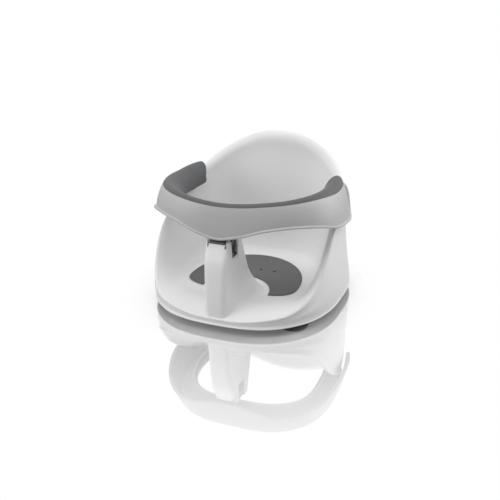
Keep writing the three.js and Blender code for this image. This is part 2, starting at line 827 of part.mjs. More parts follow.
const barScrews = [
  ["tongue_screw_left", -tongueScrewHalfSpread, barFront + frameCrestIn, frontCrest],
  ["tongue_screw_right", tongueScrewHalfSpread, barFront + frameCrestIn, frontCrest],
  ...bandScrewAngles.map((angle, index) => {
    return [`band_screw_${index + 1}`, ...crestPlace(angle), barTopAt(angle) - crestDropAt(angle)];
  }),
];

function barScrewBore(x, y, crest) {
  return uprightCylinder(screwRadius + touchGap, crest - barScrewLength, crest + cutOverrun, x, y);
}

function barOuterBand() {
  let band = sweptBar(bandSection);
  for (const angle of bandScrewAngles) {
    const high = barTopAt(angle) - bandBossDrop;
    const boss = crossBlock(angle, bandBossThickness, bandBossOut, -bandBossIn, high - bandBossHeight, high);
    band = band.add(boss);
  }
  for (const [, x, y, crest] of barScrews.slice(2)) {
    band = band.subtract(barScrewBore(x, y, crest));
  }
  return band;
}

// The rib under the frame that rests on the shell's lip near one end of the bar.
function saddle(side) {
  const angle = side * saddleAngle;
  const [x, y] = onBar(angle, -saddleIn - halfOf(saddleWidth), 0);
  const behind = Math.atan2(x, -y - saddleThickness);
  const low = lipHeightAt(behind) + touchGap - saddleSettle;
  const high = barTopAt(angle) - crestDropAt(angle) - frameWall;
  return crossBlock(angle, saddleThickness, -saddleIn, -saddleIn - saddleWidth, low, high);
}

function barInnerFrame() {
  let frame = sweptBar(frameSection);
  for (const side of [-1, 1]) {
    frame = frame.add(saddle(side));
  }
  for (const [, x, y, crest] of barScrews) {
    frame = frame.subtract(barScrewBore(x, y, crest));
  }
  return frame;
}

function barBumper() {
  let bumper = sweptBar(bumperSection);
  for (const [, x, y, crest] of barScrews) {
    const top = crest + touchGap + screwHeadHeight + touchGap;
    bumper = bumper.subtract(uprightCylinder(screwHeadRadius + touchGap, crest - cutOverrun, top, x, y));
  }
  return bumper;
}

function latchFork() {
  const back = latchFront + forkPlateDepth;
  const stemFront = barFront + forkStemIn;
  const stemTopHeight = barTopAt(0) - forkStemDrop;
  const plateTop = forkBottom + forkPlate;
  let fork = blockSolid([-prongOuter, latchFront, forkBottom], [prongOuter, back, plateTop]);
  const tongueFront = postFrontTop + tongueSet;
  fork = fork.add(blockSolid([-tongueHalfWidth, tongueFront, forkBottom], [tongueHalfWidth, back, plateTop]));
  const stemLow = [-forkStemHalfWidth, stemFront, forkBottom];
  fork = fork.add(blockSolid(stemLow, [forkStemHalfWidth, stemFront + forkStemDepth, stemTopHeight]));
  for (const side of [-1, 1]) {
    const [low, high] = inOrder(side * prongInner, side * prongOuter);
    const prongBack = latchFront + prongDepth;
    fork = fork.add(blockSolid([low, latchFront, prongBottomHeight], [high, prongBack, plateTop]));
  }
  const notch = halfOf(buttonDepth) + touchGap;
  fork = fork.subtract(blockSolid(
    [-buttonOuter, latchMiddle - notch, prongBottomHeight - cutOverrun],
    [buttonOuter, latchMiddle + notch, buttonLowHeight + buttonHeight + touchGap],
  ));
  for (const [, x, y, crest] of barScrews.slice(0, 2)) {
    fork = fork.subtract(barScrewBore(x, y, crest));
  }
  return fork;
}

// The block's two ears, which its screws pull up against the post's top.
function blockEars() {
  const low = blockTop - blockEarThickness;
  const half = blockEarHalfWidth;
  const back = blockFront + blockDepth + blockEar;
  return blockSolid([-half, blockFront - blockEar, low], [half, back, blockTop]);
}

function latchBlock() {
  let block = blockSolid(
    [-blockHalfWidth, blockFront, blockBottomHeight],
    [blockHalfWidth, blockFront + blockDepth, blockTop],
  ).add(blockEars());
  const roomHalf = halfOf(buttonDepth) + buttonFlange + touchGap;
  const roomLow = buttonLowHeight - buttonFlange - touchGap;
  for (const side of [-1, 1]) {
    const [left, right] = inOrder(side * halfOf(blockWeb), side * (blockHalfWidth - blockSide));
    const room = blockSolid(
      [left, latchMiddle - roomHalf, roomLow],
      [right, latchMiddle + roomHalf, blockTop + cutOverrun],
    );
    block = block.subtract(room);
  }
  for (const side of [-1, 1]) {
    const doorInner = blockHalfWidth - blockSide - touchGap;
    const [left, right] = inOrder(side * doorInner, side * (blockHalfWidth + cutOverrun));
    const half = halfOf(buttonDepth) + touchGap;
    const door = blockSolid(
      [left, latchMiddle - half, buttonLowHeight - touchGap],
      [right, latchMiddle + half, buttonLowHeight + buttonHeight + touchGap],
    );
    block = block.subtract(door);
  }
  for (const y of blockScrewPlaces) {
    const bore = uprightCylinder(screwRadius + touchGap, blockBottomHeight, blockTop + cutOverrun, 0, y);
    block = block.subtract(bore);
  }
  return block;
}

// A release button with its outer corners rounded and a flange that stops it inside the block.
function releaseButton(side) {
  const [low, high] = [buttonLowHeight, buttonLowHeight + buttonHeight];
  const shape = new THREE.Shape();
  shape.moveTo(flangeInner, low);
  shape.lineTo(buttonOuter - buttonRound, low);
  shape.quadraticCurveTo(buttonOuter, low, buttonOuter, low + buttonRound);
  shape.lineTo(buttonOuter, high - buttonRound);
  shape.quadraticCurveTo(buttonOuter, high, buttonOuter - buttonRound, high);
  shape.lineTo(flangeInner, high);
  const body = new THREE.ExtrudeGeometry(shape, { depth: buttonDepth, bevelEnabled: false });
  body.rotateX(halfOf(Math.PI));
  body.translate(0, latchMiddle + halfOf(buttonDepth), 0);
  const reach = halfOf(buttonDepth) + buttonFlange;
  const flange = blockSolid(
    [flangeInner, latchMiddle - reach, low - buttonFlange],
    [flangeOuter, latchMiddle + reach, high + buttonFlange],
  );
  const bore = sidewaysCylinder(
    springRadius + springWireRadius + touchGap,
    flangeInner - cutOverrun,
    flangeInner + springBoreDepth,
    latchMiddle,
    buttonMiddle,
  );
  const button = solidOf(body).add(flange).subtract(bore);
  return side > 0 ? button : button.mirror([1, 0, 0]);
}

class Coil extends THREE.Curve {
  constructor(start, end) {
    super();
    this.start = start;
    this.end = end;
  }

  getPoint(way, target = new THREE.Vector3()) {
    const angle = 2 * Math.PI * springTurns * way;
    const [y, z] = [springRadius * Math.cos(angle), springRadius * Math.sin(angle)];
    return target.set(mix(this.start, this.end, way), latchMiddle + y, buttonMiddle + z);
  }
}

function releaseSpring(side) {
  const start = side * (halfOf(blockWeb) + touchGap + springWireRadius);
  const end = side * (flangeInner + springBoreDepth - touchGap - springWireRadius);
  const wire = new THREE.Shape();
  wire.absarc(0, 0, springWireRadius, 0, 2 * Math.PI);
  const options = { steps: springTurns * coilSteps, curveSegments: wireSides, bevelEnabled: false };
  return solidOf(new THREE.ExtrudeGeometry(wire, { ...options, extrudePath: new Coil(start, end) }));
}

// A screw whose head lies on a seat and whose shank points down, or up when turned over.
function screw(x, y, seat, length, way) {
  const profile = [
    [0, way * screwHeadHeight],
    [screwHeadRadius, way * screwHeadHeight],
    [screwHeadRadius, 0],
    [screwRadius, 0],
    [screwRadius, -way * length],
    [0, -way * length],
  ];
  return lathedSolid(profile).translate(x, y, seat);
}

addPiece("seat_shell", seatShell(), shellGloss);
addPiece("seat_pad", seatPad(), padGrey);
for (const [place, x, y] of cups) {
  addPiece(`suction_cup_${place}`, suctionCup(x, y), padGrey);
}
addPiece("bar_outer_band", barOuterBand(), bandGrey);
addPiece("bar_inner_frame", barInnerFrame(), bandGrey);
addPiece("bar_bumper", barBumper(), softGrey);
addPiece("latch_fork", latchFork(), softGrey);
addPiece("latch_block", latchBlock(), innerPlastic);
for (const [place, side] of [["left", -1], ["right", 1]]) {
  addPiece(`release_button_${place}`, releaseButton(side), softGrey);
  addPiece(`release_spring_${place}`, releaseSpring(side), steel);
}
for (const [name, x, y, crest] of barScrews) {
  addPiece(name, screw(x, y, crest + touchGap, barScrewLength - touchGap, 1), steel);
}
blockScrewPlaces.forEach((y, index) => {
  const seat = blockTop - blockEarThickness - touchGap;
  addPiece(`block_screw_${index + 1}`, screw(0, y, seat, blockScrewLength, -1), steel);
});

export default part;
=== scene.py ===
import math

import bmesh
import bpy
import numpy as np
from mathutils import Matrix, Vector


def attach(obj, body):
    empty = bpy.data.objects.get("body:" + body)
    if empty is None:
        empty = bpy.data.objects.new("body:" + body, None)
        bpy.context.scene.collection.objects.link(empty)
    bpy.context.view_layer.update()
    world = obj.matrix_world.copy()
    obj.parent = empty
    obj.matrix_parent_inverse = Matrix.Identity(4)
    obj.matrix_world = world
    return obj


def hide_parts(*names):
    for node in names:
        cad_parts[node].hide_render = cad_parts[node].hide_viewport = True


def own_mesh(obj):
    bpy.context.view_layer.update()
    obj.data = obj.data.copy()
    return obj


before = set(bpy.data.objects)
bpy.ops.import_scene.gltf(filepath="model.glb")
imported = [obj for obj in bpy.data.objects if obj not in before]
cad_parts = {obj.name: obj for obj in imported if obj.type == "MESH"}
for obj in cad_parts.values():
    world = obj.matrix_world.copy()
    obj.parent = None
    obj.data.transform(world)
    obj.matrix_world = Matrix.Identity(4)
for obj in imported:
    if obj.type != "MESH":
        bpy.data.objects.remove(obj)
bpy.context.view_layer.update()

mm = 0.001               # every length below is in millimetres until a mesh is made
turn = 2 * math.pi


# Shared maths

def smoothTable(shares, place):      # equally spaced values read with a smooth curve
    last = len(shares) - 1
    at = lambda index: shares[-index if index < 0 else 2 * last - index if index > last else index]
    first = min(int(math.floor(place)), last - 1)
    way = place - first
    before, start, end, after = (at(first + step) for step in (-1, 0, 1, 2))
    bend = 2 * before - 5 * start + 4 * end - after
    twist = 3 * (start - end) + after - before
    return start + 0.5 * way * (end - before + way * (bend + way * twist))


def smoothLine(points, steps):       # a smooth curve through points, with steps in each span
    points = np.asarray(points, float)
    ends = np.vstack([points[:1], points, points[-1:]])
    ways = np.arange(steps)[:, None] / steps
    spans = []
    for index in range(len(points) - 1):
        before, start, end, after = ends[index:index + 4]
        bend = 2 * before - 5 * start + 4 * end - after
        twist = 3 * (start - end) + after - before
        spans.append(start + 0.5 * ways * (end - before + ways * (bend + ways * twist)))
    return np.vstack(spans + [points[-1:]])


def smoothStep(value, low, high):
    way = np.clip((value - low) / (high - low), 0, 1)
    return way * way * (3 - 2 * way)


def mix(start, end, way):
    return start + (end - start) * way


def roundedRadius(angle, halfWidth, halfDepth, power):
    across = (abs(math.sin(angle)) / halfWidth) ** power
    along = (abs(math.cos(angle)) / halfDepth) ** power
    return (across + along) ** (-1 / power)


def besideLine(line, distance):      # the same line, moved to its left
    way = np.gradient(line, axis=0)
    way /= np.maximum(np.linalg.norm(way, axis=1, keepdims=True), 1e-9)
    return line + distance * np.stack([-way[:, 1], way[:, 0]], axis=1)


def evenly(line, count):             # a line's points, spaced evenly along it
    lengths = np.concatenate([[0], np.cumsum(np.linalg.norm(np.diff(line, axis=0), axis=1))])
    places = np.linspace(0, lengths[-1], count)
    return np.stack([np.interp(places, lengths, line[:, axis]) for axis in range(line.shape[1])], axis=1)


def distanceTo(line, points):        # from each point to the nearest place on a line
    start, way = line[:-1], np.diff(line, axis=0)
    square = np.maximum((way ** 2).sum(1), 1e-12)
    share = np.clip(((points[:, None] - start) * way).sum(2) / square, 0, 1)
    near = start + share[..., None] * way
    return np.sqrt(((points[:, None] - near) ** 2).sum(2).min(1))


# Mesh tools

def meshPiece(name, points, faces):
    mesh = bpy.data.meshes.new(name)
    mesh.from_pydata((np.asarray(points, float) * mm).tolist(), [], faces)
    piece = bpy.data.objects.new(name, mesh)
    bpy.context.scene.collection.objects.link(piece)
    turnOutwards(piece)
    return piece


def turnOutwards(piece):
    work = bmesh.new()
    work.from_mesh(piece.data)
    bmesh.ops.remove_doubles(work, verts=work.verts, dist=0.001 * mm)
    bmesh.ops.recalc_face_normals(work, faces=work.faces)
    work.to_mesh(piece.data)
    work.free()


def stackedRings(name, rings):       # closed rings one above another, with a cap at each end
    count = len(rings[0])
    points = np.vstack(rings)
    faces = []
    for row in range(len(rings) - 1):
        for side in range(count):
            here, beside = row * count + side, row * count + (side + 1) % count
            faces.append((here, beside, beside + count, here + count))
    faces.append(tuple(range(count)))
    faces.append(tuple(range(len(points) - count, len(points))))
    return meshPiece(name, points, faces)


def turnedRows(name, rows):          # half sections round the upright axis, each from axis to axis
    rows = np.asarray(rows, float)
    count, inner = len(rows), rows.shape[1] - 2
    angles = turn * np.arange(count) / count
    radius, height = rows[:, 1:-1, 0], rows[:, 1:-1, 1]
    ring = np.stack([radius * np.sin(angles)[:, None], -radius * np.cos(angles)[:, None], height], axis=2)
    points = np.vstack([ring.reshape(-1, 3), [[0, 0, rows[0, 0, 1]], [0, 0, rows[0, -1, 1]]]])
    first, last = count * inner, count * inner + 1
    faces = []
    for row in range(count):
        here, beside = row * inner, (row + 1) % count * inner
        faces.append((first, beside, here))
        faces.append((last, here + inner - 1, beside + inner - 1))
        for step in range(inner - 1):
            faces.append((here + step, beside + step, beside + step + 1, here + step + 1))
    return meshPiece(name, points, faces)


def lathed(name, profile, sides, x=0, y=0):
    rows = [profile] * sides
    piece = turnedRows(name, rows)
    piece.data.transform(Matrix.Translation(Vector((x, y, 0)) * mm))
    return piece


def block(name, low, high):
    corners = [(x, y, z) for x in (low[0], high[0]) for y in (low[1], high[1]) for z in (low[2], high[2])]
    faces = [(0, 1, 3, 2), (4, 6, 7, 5), (0, 4, 5, 1), (2, 3, 7, 6), (0, 2, 6, 4), (1, 5, 7, 3)]
    return meshPiece(name, corners, faces)


def bore(radius, low, high, x, y, sides=40):
    return lathed("bore", [(0, low), (radius, low), (radius, high), (0, high)], sides, x, y)


def settle(piece):                   # a piece's modifiers become its mesh
    bpy.context.view_layer.update()
    solved = bpy.data.meshes.new_from_object(piece.evaluated_get(bpy.context.evaluated_depsgraph_get()))
    old = piece.data
    piece.modifiers.clear()
    piece.data = solved
    bpy.data.meshes.remove(old)


def combine(piece, other, how):      # how: UNION, DIFFERENCE or INTERSECT
    solver = piece.modifiers.new("combine", "BOOLEAN")
    solver.operation = how
    solver.object = other
    solver.solver = "MANIFOLD"
    settle(piece)
    bpy.data.objects.remove(other)


def softenEdges(piece, width, steps=3, angle=40):
    bevel = piece.modifiers.new("softEdges", "BEVEL")
    bevel.width = width * mm
    bevel.segments = steps
    bevel.limit_method = "ANGLE"
    bevel.angle_limit = math.radians(angle)
    bevel.use_clamp_overlap = True


def shadeSmooth(piece, angle=40):
    for face in piece.data.polygons:
        face.use_smooth = True
    piece.data.set_sharp_from_angle(angle=math.radians(angle))


def finishPiece(piece, body, finish, nodes=()):
    piece.data.materials.clear()
    piece.data.materials.append(finish)
    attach(piece, body)
    if nodes:
        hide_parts(*nodes)
    return piece


# Finishes

finishes = {
    "shellGloss": {"color": (0.84, 0.84, 0.836), "roughness": 0.34, "drift": 0.05, "coat": 0.0,
                   "grain": 0.02, "grainSize": 1.6, "edge": 0.0, "blotch": 0.012, "specular": 0.1},
    "bandPlastic": {"color": (0.455, 0.457, 0.461), "roughness": 0.42, "drift": 0.08, "coat": 0.0,
                    "grain": 0.10, "grainSize": 0.55, "edge": 0.10, "blotch": 0.03},
    "bumperRubber": {"color": (0.115, 0.117, 0.121), "roughness": 0.5, "drift": 0.10, "coat": 0.0,
                     "grain": 0.22, "grainSize": 0.45, "edge": 0.05, "blotch": 0.06, "specular": 0.2},
    "padRubber": {"color": (0.128, 0.129, 0.132), "roughness": 0.66, "drift": 0.10, "coat": 0.0,
                  "grain": 0.25, "grainSize": 0.5, "edge": 0.10, "blotch": 0.05},
    "cupRubber": {"color": (0.125, 0.126, 0.129), "roughness": 0.34, "drift": 0.08, "coat": 0.0,
                  "grain": 0.05, "grainSize": 0.8, "edge": 0.05, "blotch": 0.05},
    "innerPlastic": {"color": (0.56, 0.56, 0.565), "roughness": 0.46, "drift": 0.06, "coat": 0.0,
                     "grain": 0.08, "grainSize": 0.6, "edge": 0.05, "blotch": 0.03},
    "steel": {"color": (0.52, 0.53, 0.55), "roughness": 0.32, "drift": 0.12, "coat": 0.0,
              "grain": 0.06, "grainSize": 0.3, "edge": 0.0, "blotch": 0.05, "metal": 1.0},
}


def newGroup(name, inputs, outputs):
    group = bpy.data.node_groups.new(name, "ShaderNodeTree")
    for label, kind, value in inputs:
        socket = group.interface.new_socket(name=label, in_out="INPUT", socket_type=kind)
        socket.default_value = value
    for label, kind in outputs:
        group.interface.new_socket(name=label, in_out="OUTPUT", socket_type=kind)
    return group, group.nodes.new("NodeGroupInput"), group.nodes.new("NodeGroupOutput")


def addNode(tree, kind, label="", **settings):
    node = tree.nodes.new(kind)
    node.label = label
    for key, value in settings.items():
        setattr(node, key, value)
    return node


def fineGrainGroup():                # spark-eroded mould texture: a height for a Bump node
    group, given, out = newGroup("fineGrain", [("Size", "NodeSocketFloat", 0.5)], [("Height", "NodeSocketFloat")])
    place = addNode(group, "ShaderNodeTexCoord", "place")
    scale = addNode(group, "ShaderNodeMath", "grains in a metre", operation="DIVIDE")
    scale.inputs[0].default_value = 1 / mm
    fine = addNode(group, "ShaderNodeTexNoise", "grains")
    fine.inputs["Detail"].default_value = 3
    broad = addNode(group, "ShaderNodeTexNoise", "flow of the mould")
    broad.inputs["Scale"].default_value = 38
    both = addNode(group, "ShaderNodeMath", "grain over flow", operation="MULTIPLY_ADD")
    both.inputs[1].default_value = 0.35
    link = group.links.new
    link(given.outputs["Size"], scale.inputs[1])
    link(place.outputs["Object"], fine.inputs["Vector"])
    link(place.outputs["Object"], broad.inputs["Vector"])
    link(scale.outputs[0], fine.inputs["Scale"])
    link(broad.outputs["Fac"], both.inputs[0])
    link(fine.outputs["Fac"], both.inputs[2])
    link(both.outputs[0], out.inputs["Height"])
    return group


def toneDriftGroup():                # slow changes of tone and gloss, as moulded plastic has
    group, given, out = newGroup(
        "toneDrift",
        [("Color", "NodeSocketColor", (0.8, 0.8, 0.8, 1)), ("Blotch", "NodeSocketFloat", 0.03),
         ("Roughness", "NodeSocketFloat", 0.4), ("Drift", "NodeSocketFloat", 0.08)],
        [("Color", "NodeSocketColor"), ("Roughness", "NodeSocketFloat")])
    place = addNode(group, "ShaderNodeTexCoord", "place")
    clouds = addNode(group, "ShaderNodeTexNoise", "clouds")
    clouds.inputs["Scale"].default_value = 16
    clouds.inputs["Detail"].default_value = 4
    smears = addNode(group, "ShaderNodeTexNoise", "wiped smears")
    smears.inputs["Scale"].default_value = 55
    smears.inputs["Distortion"].default_value = 1.2
    centred = addNode(group, "ShaderNodeMath", "around zero", operation="SUBTRACT")
    centred.inputs[1].default_value = 0.5
    tone = addNode(group, "ShaderNodeMath", "tone", operation="MULTIPLY_ADD")
    tone.inputs[2].default_value = 1
    tinted = addNode(group, "ShaderNodeVectorMath", "tinted", operation="SCALE")
    swing = addNode(group, "ShaderNodeMath", "swing", operation="SUBTRACT")
    swing.inputs[1].default_value = 0.5
    rough = addNode(group, "ShaderNodeMath", "roughness", operation="MULTIPLY_ADD")
    link = group.links.new
    link(place.outputs["Object"], clouds.inputs["Vector"])
    link(place.outputs["Object"], smears.inputs["Vector"])
    link(clouds.outputs["Fac"], centred.inputs[0])
    link(centred.outputs[0], tone.inputs[0])
    link(given.outputs["Blotch"], tone.inputs[1])
    link(given.outputs["Color"], tinted.inputs[0])
    link(tone.outputs[0], tinted.inputs["Scale"])
    link(smears.outputs["Fac"], swing.inputs[0])
    link(swing.outputs[0], rough.inputs[0])
    link(given.outputs["Drift"], rough.inputs[1])
    link(given.outputs["Roughness"], rough.inputs[2])
    link(tinted.outputs[0], out.inputs["Color"])
    link(rough.outputs[0], out.inputs["Roughness"])
    return group


def edgeLightGroup():                # edges paler than the faces, where Pointiness marks them
    group, given, out = newGroup(
        "edgeLight",
        [("Color", "NodeSocketColor", (0.5, 0.5, 0.5, 1)), ("Amount", "NodeSocketFloat", 0.1)],
        [("Color", "NodeSocketColor")])
    shape = addNode(group, "ShaderNodeNewGeometry", "shape")
    edge = addNode(group, "ShaderNodeMapRange", "edges only")
    edge.inputs["From Min"].default_value = 0.51
    edge.inputs["From Max"].default_value = 0.62
    part = addNode(group, "ShaderNodeMath", "amount", operation="MULTIPLY_ADD")
    part.inputs[2].default_value = 1
    paler = addNode(group, "ShaderNodeVectorMath", "paler", operation="SCALE")
    link = group.links.new
    link(shape.outputs["Pointiness"], edge.inputs["Value"])
    link(edge.outputs["Result"], part.inputs[0])
    link(given.outputs["Amount"], part.inputs[1])
    link(given.outputs["Color"], paler.inputs[0])
    link(part.outputs[0], paler.inputs["Scale"])
    link(paler.outputs[0], out.inputs["Color"])
    return group


groups = {"fineGrain": fineGrainGroup(), "toneDrift": toneDriftGroup(), "edgeLight": edgeLightGroup()}


def placeGroup(tree, name, **values):
    node = addNode(tree, "ShaderNodeGroup", name)
    node.node_tree = groups[name]
    for key, value in values.items():
        node.inputs[key].default_value = value
    return node


def makeFinish(name):
    look = finishes[name]
    material = bpy.data.materials.new(name)
    material.use_nodes = True
    tree = material.node_tree
    shader = tree.nodes["Principled BSDF"]
    shader.inputs["Metallic"].default_value = look.get("metal", 0.0)
    shader.inputs["Coat Weight"].default_value = look["coat"]
    shader.inputs["Coat Roughness"].default_value = 0.12
    shader.inputs["IOR"].default_value = 1.49
    shader.inputs["Specular IOR Level"].default_value = look.get("specular", 0.5)
    drift = placeGroup(tree, "toneDrift", Color=(*look["color"], 1), Blotch=look["blotch"],
                       Roughness=look["roughness"], Drift=look["drift"])
    edge = placeGroup(tree, "edgeLight", Amount=look["edge"])
    grain = placeGroup(tree, "fineGrain", Size=look["grainSize"])
    bump = addNode(tree, "ShaderNodeBump", "surface")
    bump.inputs["Strength"].default_value = look["grain"]
    bump.inputs["Distance"].default_value = 0.25 * mm
    link = tree.links.new
    link(drift.outputs["Color"], edge.inputs["Color"])
    link(edge.outputs["Color"], shader.inputs["Base Color"])
    link(drift.outputs["Roughness"], shader.inputs["Roughness"])
    link(grain.outputs["Height"], bump.inputs["Height"])
    link(bump.outputs["Normal"], shader.inputs["Normal"])
    return material


finish = {name: makeFinish(name) for name in finishes}
print("stage: finishes ready,", len(finish))


# Seat shell

shell = {
    "rimHalfWidth": 170, "rimHalfDepth": 168, "rimPower": 2.6, "rimHeight": 13, "rimFlange": 3, "rimLedge": 6,
    "rimShares": [0.976, 0.976, 0.975, 0.973, 0.988, 1, 1, 1, 1, 1, 1, 1, 1],
    "flangeShares": [1, 1, 1, 0.9, 0.5, 0.3, 0.3, 0.3, 0.3, 0.4, 0.5, 0.5, 0.5],
    "skirtSwell": 3.5, "skirtSwellShares": [0, 0, 0, 0.2, 0.8, 1, 1, 1, 1, 0.8, 0.6, 0.5, 0.5],
    "wall": 2.8, "panHeight": 38.5, "thighRise": 4,
    "panShares": [0.655, 0.655, 0.655, 0.655, 0.64, 0.6, 0.56, 0.53, 0.52],
    "lipFrontHeight": 26, "lipBackHeight": 260, "lipWidth": 13, "coveDepth": 9,
    "lipRiseShares": [0, 0.003, 0.026, 0.065, 0.172, 0.384, 0.526, 0.621, 0.708, 0.808, 0.904, 0.979, 1],
    "lipPlaceShares": [0.963, 0.963, 0.965, 0.972, 0.975, 0.965, 0.942, 0.929, 0.931, 0.953, 0.985, 0.985, 0.98],
    "lipWidthShares": [0.27, 0.27, 0.3, 0.42, 0.64, 0.8, 0.8, 0.78, 0.76, 0.85, 0.95, 1, 1],
    "lipFallShares": [-0.45, -0.45, -0.4, -0.1, 0.4, 0.75, 0.8, 0.8, 0.8, 0.8, 0.8, 0.8, 0.8],
    "coveShares": [0, 0, 0, 0, 0.4, 1, 1, 0.9, 0.6, 0.15, 0, 0, 0],
    "wallOutShares": [0.13, 0.27, 0.45, 0.64, 0.81, 0.93], "wallUpShares": [0.006, 0.045, 0.17, 0.43, 0.705, 0.89],
    "wallSideShares": [0.985, 0.985, 0.985, 0.985, 0.985, 0.985, 0.975, 0.955, 0.945, 0.96, 0.975, 0.985, 0.985],
    "shoulderDrop": 36, "shoulderDropShare": 0.3, "ledgeShare": 0.15, "shoulderLipShare": 1.1,
    "lipInShare": 0.75, "lipEdgeDropShare": 0.3, "lipRollShare": 0.65, "lipRollDropShare": 0.8,
    "angles": 288, "spanSteps": 6,
}


def shellTable(shares, angle):
    return smoothTable(shell[shares], (len(shell[shares]) - 1) * abs(math.remainder(angle, turn)) / math.pi)


def lipHeightAt(angle):
    return mix(shell["lipFrontHeight"], shell["lipBackHeight"], shellTable("lipRiseShares", angle))


def shellPoints(angle):              # from the middle of the pan over the lip to the rim, one half plane
    plain = roundedRadius(angle, shell["rimHalfWidth"], shell["rimHalfDepth"], shell["rimPower"])
    rim = plain * shellTable("rimShares", angle)
    height = lipHeightAt(angle)
    lip = shell["lipWidth"] * shellTable("lipWidthShares", angle)
    crest = plain * shellTable("lipPlaceShares", angle) - lip / 2
    innerEdge, edgeHeight = crest - lip * shell["lipInShare"], height - lip * shellTable("lipFallShares", angle)
    pan, panHeight = plain * shellTable("panShares", angle), shell["panHeight"]
    cove = shell["coveDepth"] * shellTable("coveShares", angle)
    thigh = shell["thighRise"] * max(math.cos(angle), 0) ** 2
    drop = height - shell["rimHeight"]
    least = lip * shell["shoulderLipShare"]
    shoulder = height - max(least, min(shell["shoulderDrop"], shell["shoulderDropShare"] * drop)) - cove
    ledge = shell["rimHeight"] + shell["wall"] + min(shell["rimLedge"], shell["ledgeShare"] * drop)
    side = rim * shellTable("wallSideShares", angle)
    points = [(0, panHeight), (pan / 2, panHeight), (pan, panHeight)]
    for outShare, upShare in zip(shell["wallOutShares"], shell["wallUpShares"]):
        hump = thigh * math.sin(math.pi * outShare)
        points.append((mix(pan, innerEdge, outShare), mix(panHeight, edgeHeight, upShare) + hump))
    points.append((innerEdge, edgeHeight))
    points.append((crest, height))
    points.append((crest + lip / 2, height - lip * shell["lipEdgeDropShare"]))
    points.append((crest + lip * shell["lipRollShare"] - cove / 2, height - lip * shell["lipRollDropShare"] - cove / 2))
    points.append((side, shoulder))
    swell = shell["skirtSwell"] * shellTable("skirtSwellShares", angle)
    points.append((side + swell, (shoulder + ledge) / 2))
    points.append((rim - shell["rimFlange"] * shellTable("flangeShares", angle), ledge))
    points.append((rim - shell["wall"] / 2, shell["rimHeight"] + shell["wall"]))
    return points


def shellSurface(angle):
    return smoothLine(shellPoints(angle), shell["spanSteps"])


def insideOf(surface, wall):         # the surface's other side, without the loops of a tight bend
    count = len(surface)
    moved = besideLine(surface, -wall)
    moved[0] = surface[0] - (0, wall)
    clear = distanceTo(surface, moved) > 0.97 * wall
    clear[[0, -1]] = True
    return evenly(moved[clear], count)


def rimEdge(surface, wall):          # the half round of the rim's outer edge
    radius = wall / 2
    centre = np.array([surface[-1][0], shell["rimHeight"] + radius])
    turns = np.radians(np.linspace(60, -60, 5))
    return centre + radius * np.stack([np.cos(turns), np.sin(turns)], axis=1)


def shellRow(angle):
    surface = shellSurface(angle)
    under = insideOf(surface, shell["wall"])
    under[-1] = (surface[-1][0], shell["rimHeight"])
    return np.vstack([under, rimEdge(surface, shell["wall"])[::-1], surface[::-1]])


def filledRow(angle):                # all below the middle of the shell's wall
    middle = insideOf(shellSurface(angle), shell["wall"] / 2)
    bottom = shell["rimHeight"]
    return np.vstack([[(0, bottom), (middle[-1][0], bottom)], middle[::-1]])


surfaces = [shellSurface(turn * index / shell["angles"]) for index in range(shell["angles"])]


def heightOnShell(x, y):             # the seat's height inside the lip, at a place seen from above
    place = math.atan2(x, -y) / turn * len(surfaces)
    first = int(math.floor(place))
    radius = math.hypot(x, y)
    heights = [np.interp(radius, line[:, 0], line[:, 1]) for line in
               (surfaces[first % len(surfaces)], surfaces[(first + 1) % len(surfaces)])]
    return mix(heights[0], heights[1], place - first)


# Crotch post, hollow and open below

post = {
    "top": 156, "base": 20, "frontBase": -159.5, "frontTop": -139, "backBase": -36, "backTop": -87,
    "frontShares": [0, 0.02, 0.14, 0.37, 1], "halfWidth": 23, "flare": 23, "flareHeight": 92, "flarePower": 2.6,
    "noseShare": 0.42, "cornerShare": 0.3, "noseCornerShare": 0.4, "topRound": 1.6, "sides": 144,
    "saddleDepth": 4, "tongueHalfWidth": 14, "slitWidth": 2.8, "slitDrop": 6.5, "slitDepth": 7,
    "fillet": 5, "filletFront": 1.2, "filletRise": 6, "sink": 0.15,
}


saddleFloor = post["top"] - post["saddleDepth"]


def postPoint(side, height, inset):  # side runs round the post from the middle of its front
    rise = (height - post["base"]) / (post["top"] - post["base"])
    lean = smoothTable(post["frontShares"], (len(post["frontShares"]) - 1) * min(max(rise, 0), 1))
    front = mix(post["frontBase"], post["frontTop"], lean) + inset
    back = mix(post["backBase"], post["backTop"], rise) - inset
    way = (post["flareHeight"] - height) / (post["flareHeight"] - shell["panHeight"])
    flare = post["flare"] * min(max(way, 0), 1) ** post["flarePower"]
    corner = post["noseCornerShare"] if math.cos(side) > 0 else post["cornerShare"]
    across = math.copysign(abs(math.sin(side)) ** corner, math.sin(side))
    along = math.copysign(abs(math.cos(side)) ** corner, math.cos(side))
    halfWidth = post["halfWidth"] + flare * smoothStep(-along, -1, post["noseShare"]) - inset
    return across * halfWidth, mix(front, back, (1 - along) / 2)


def postSides():                     # closer together at the corners, where the outline turns
    return [turn * step / post["sides"] for step in range(post["sides"])]


def ringAt(height, inset):
    return [(*postPoint(side, height, inset), height) for side in postSides()]


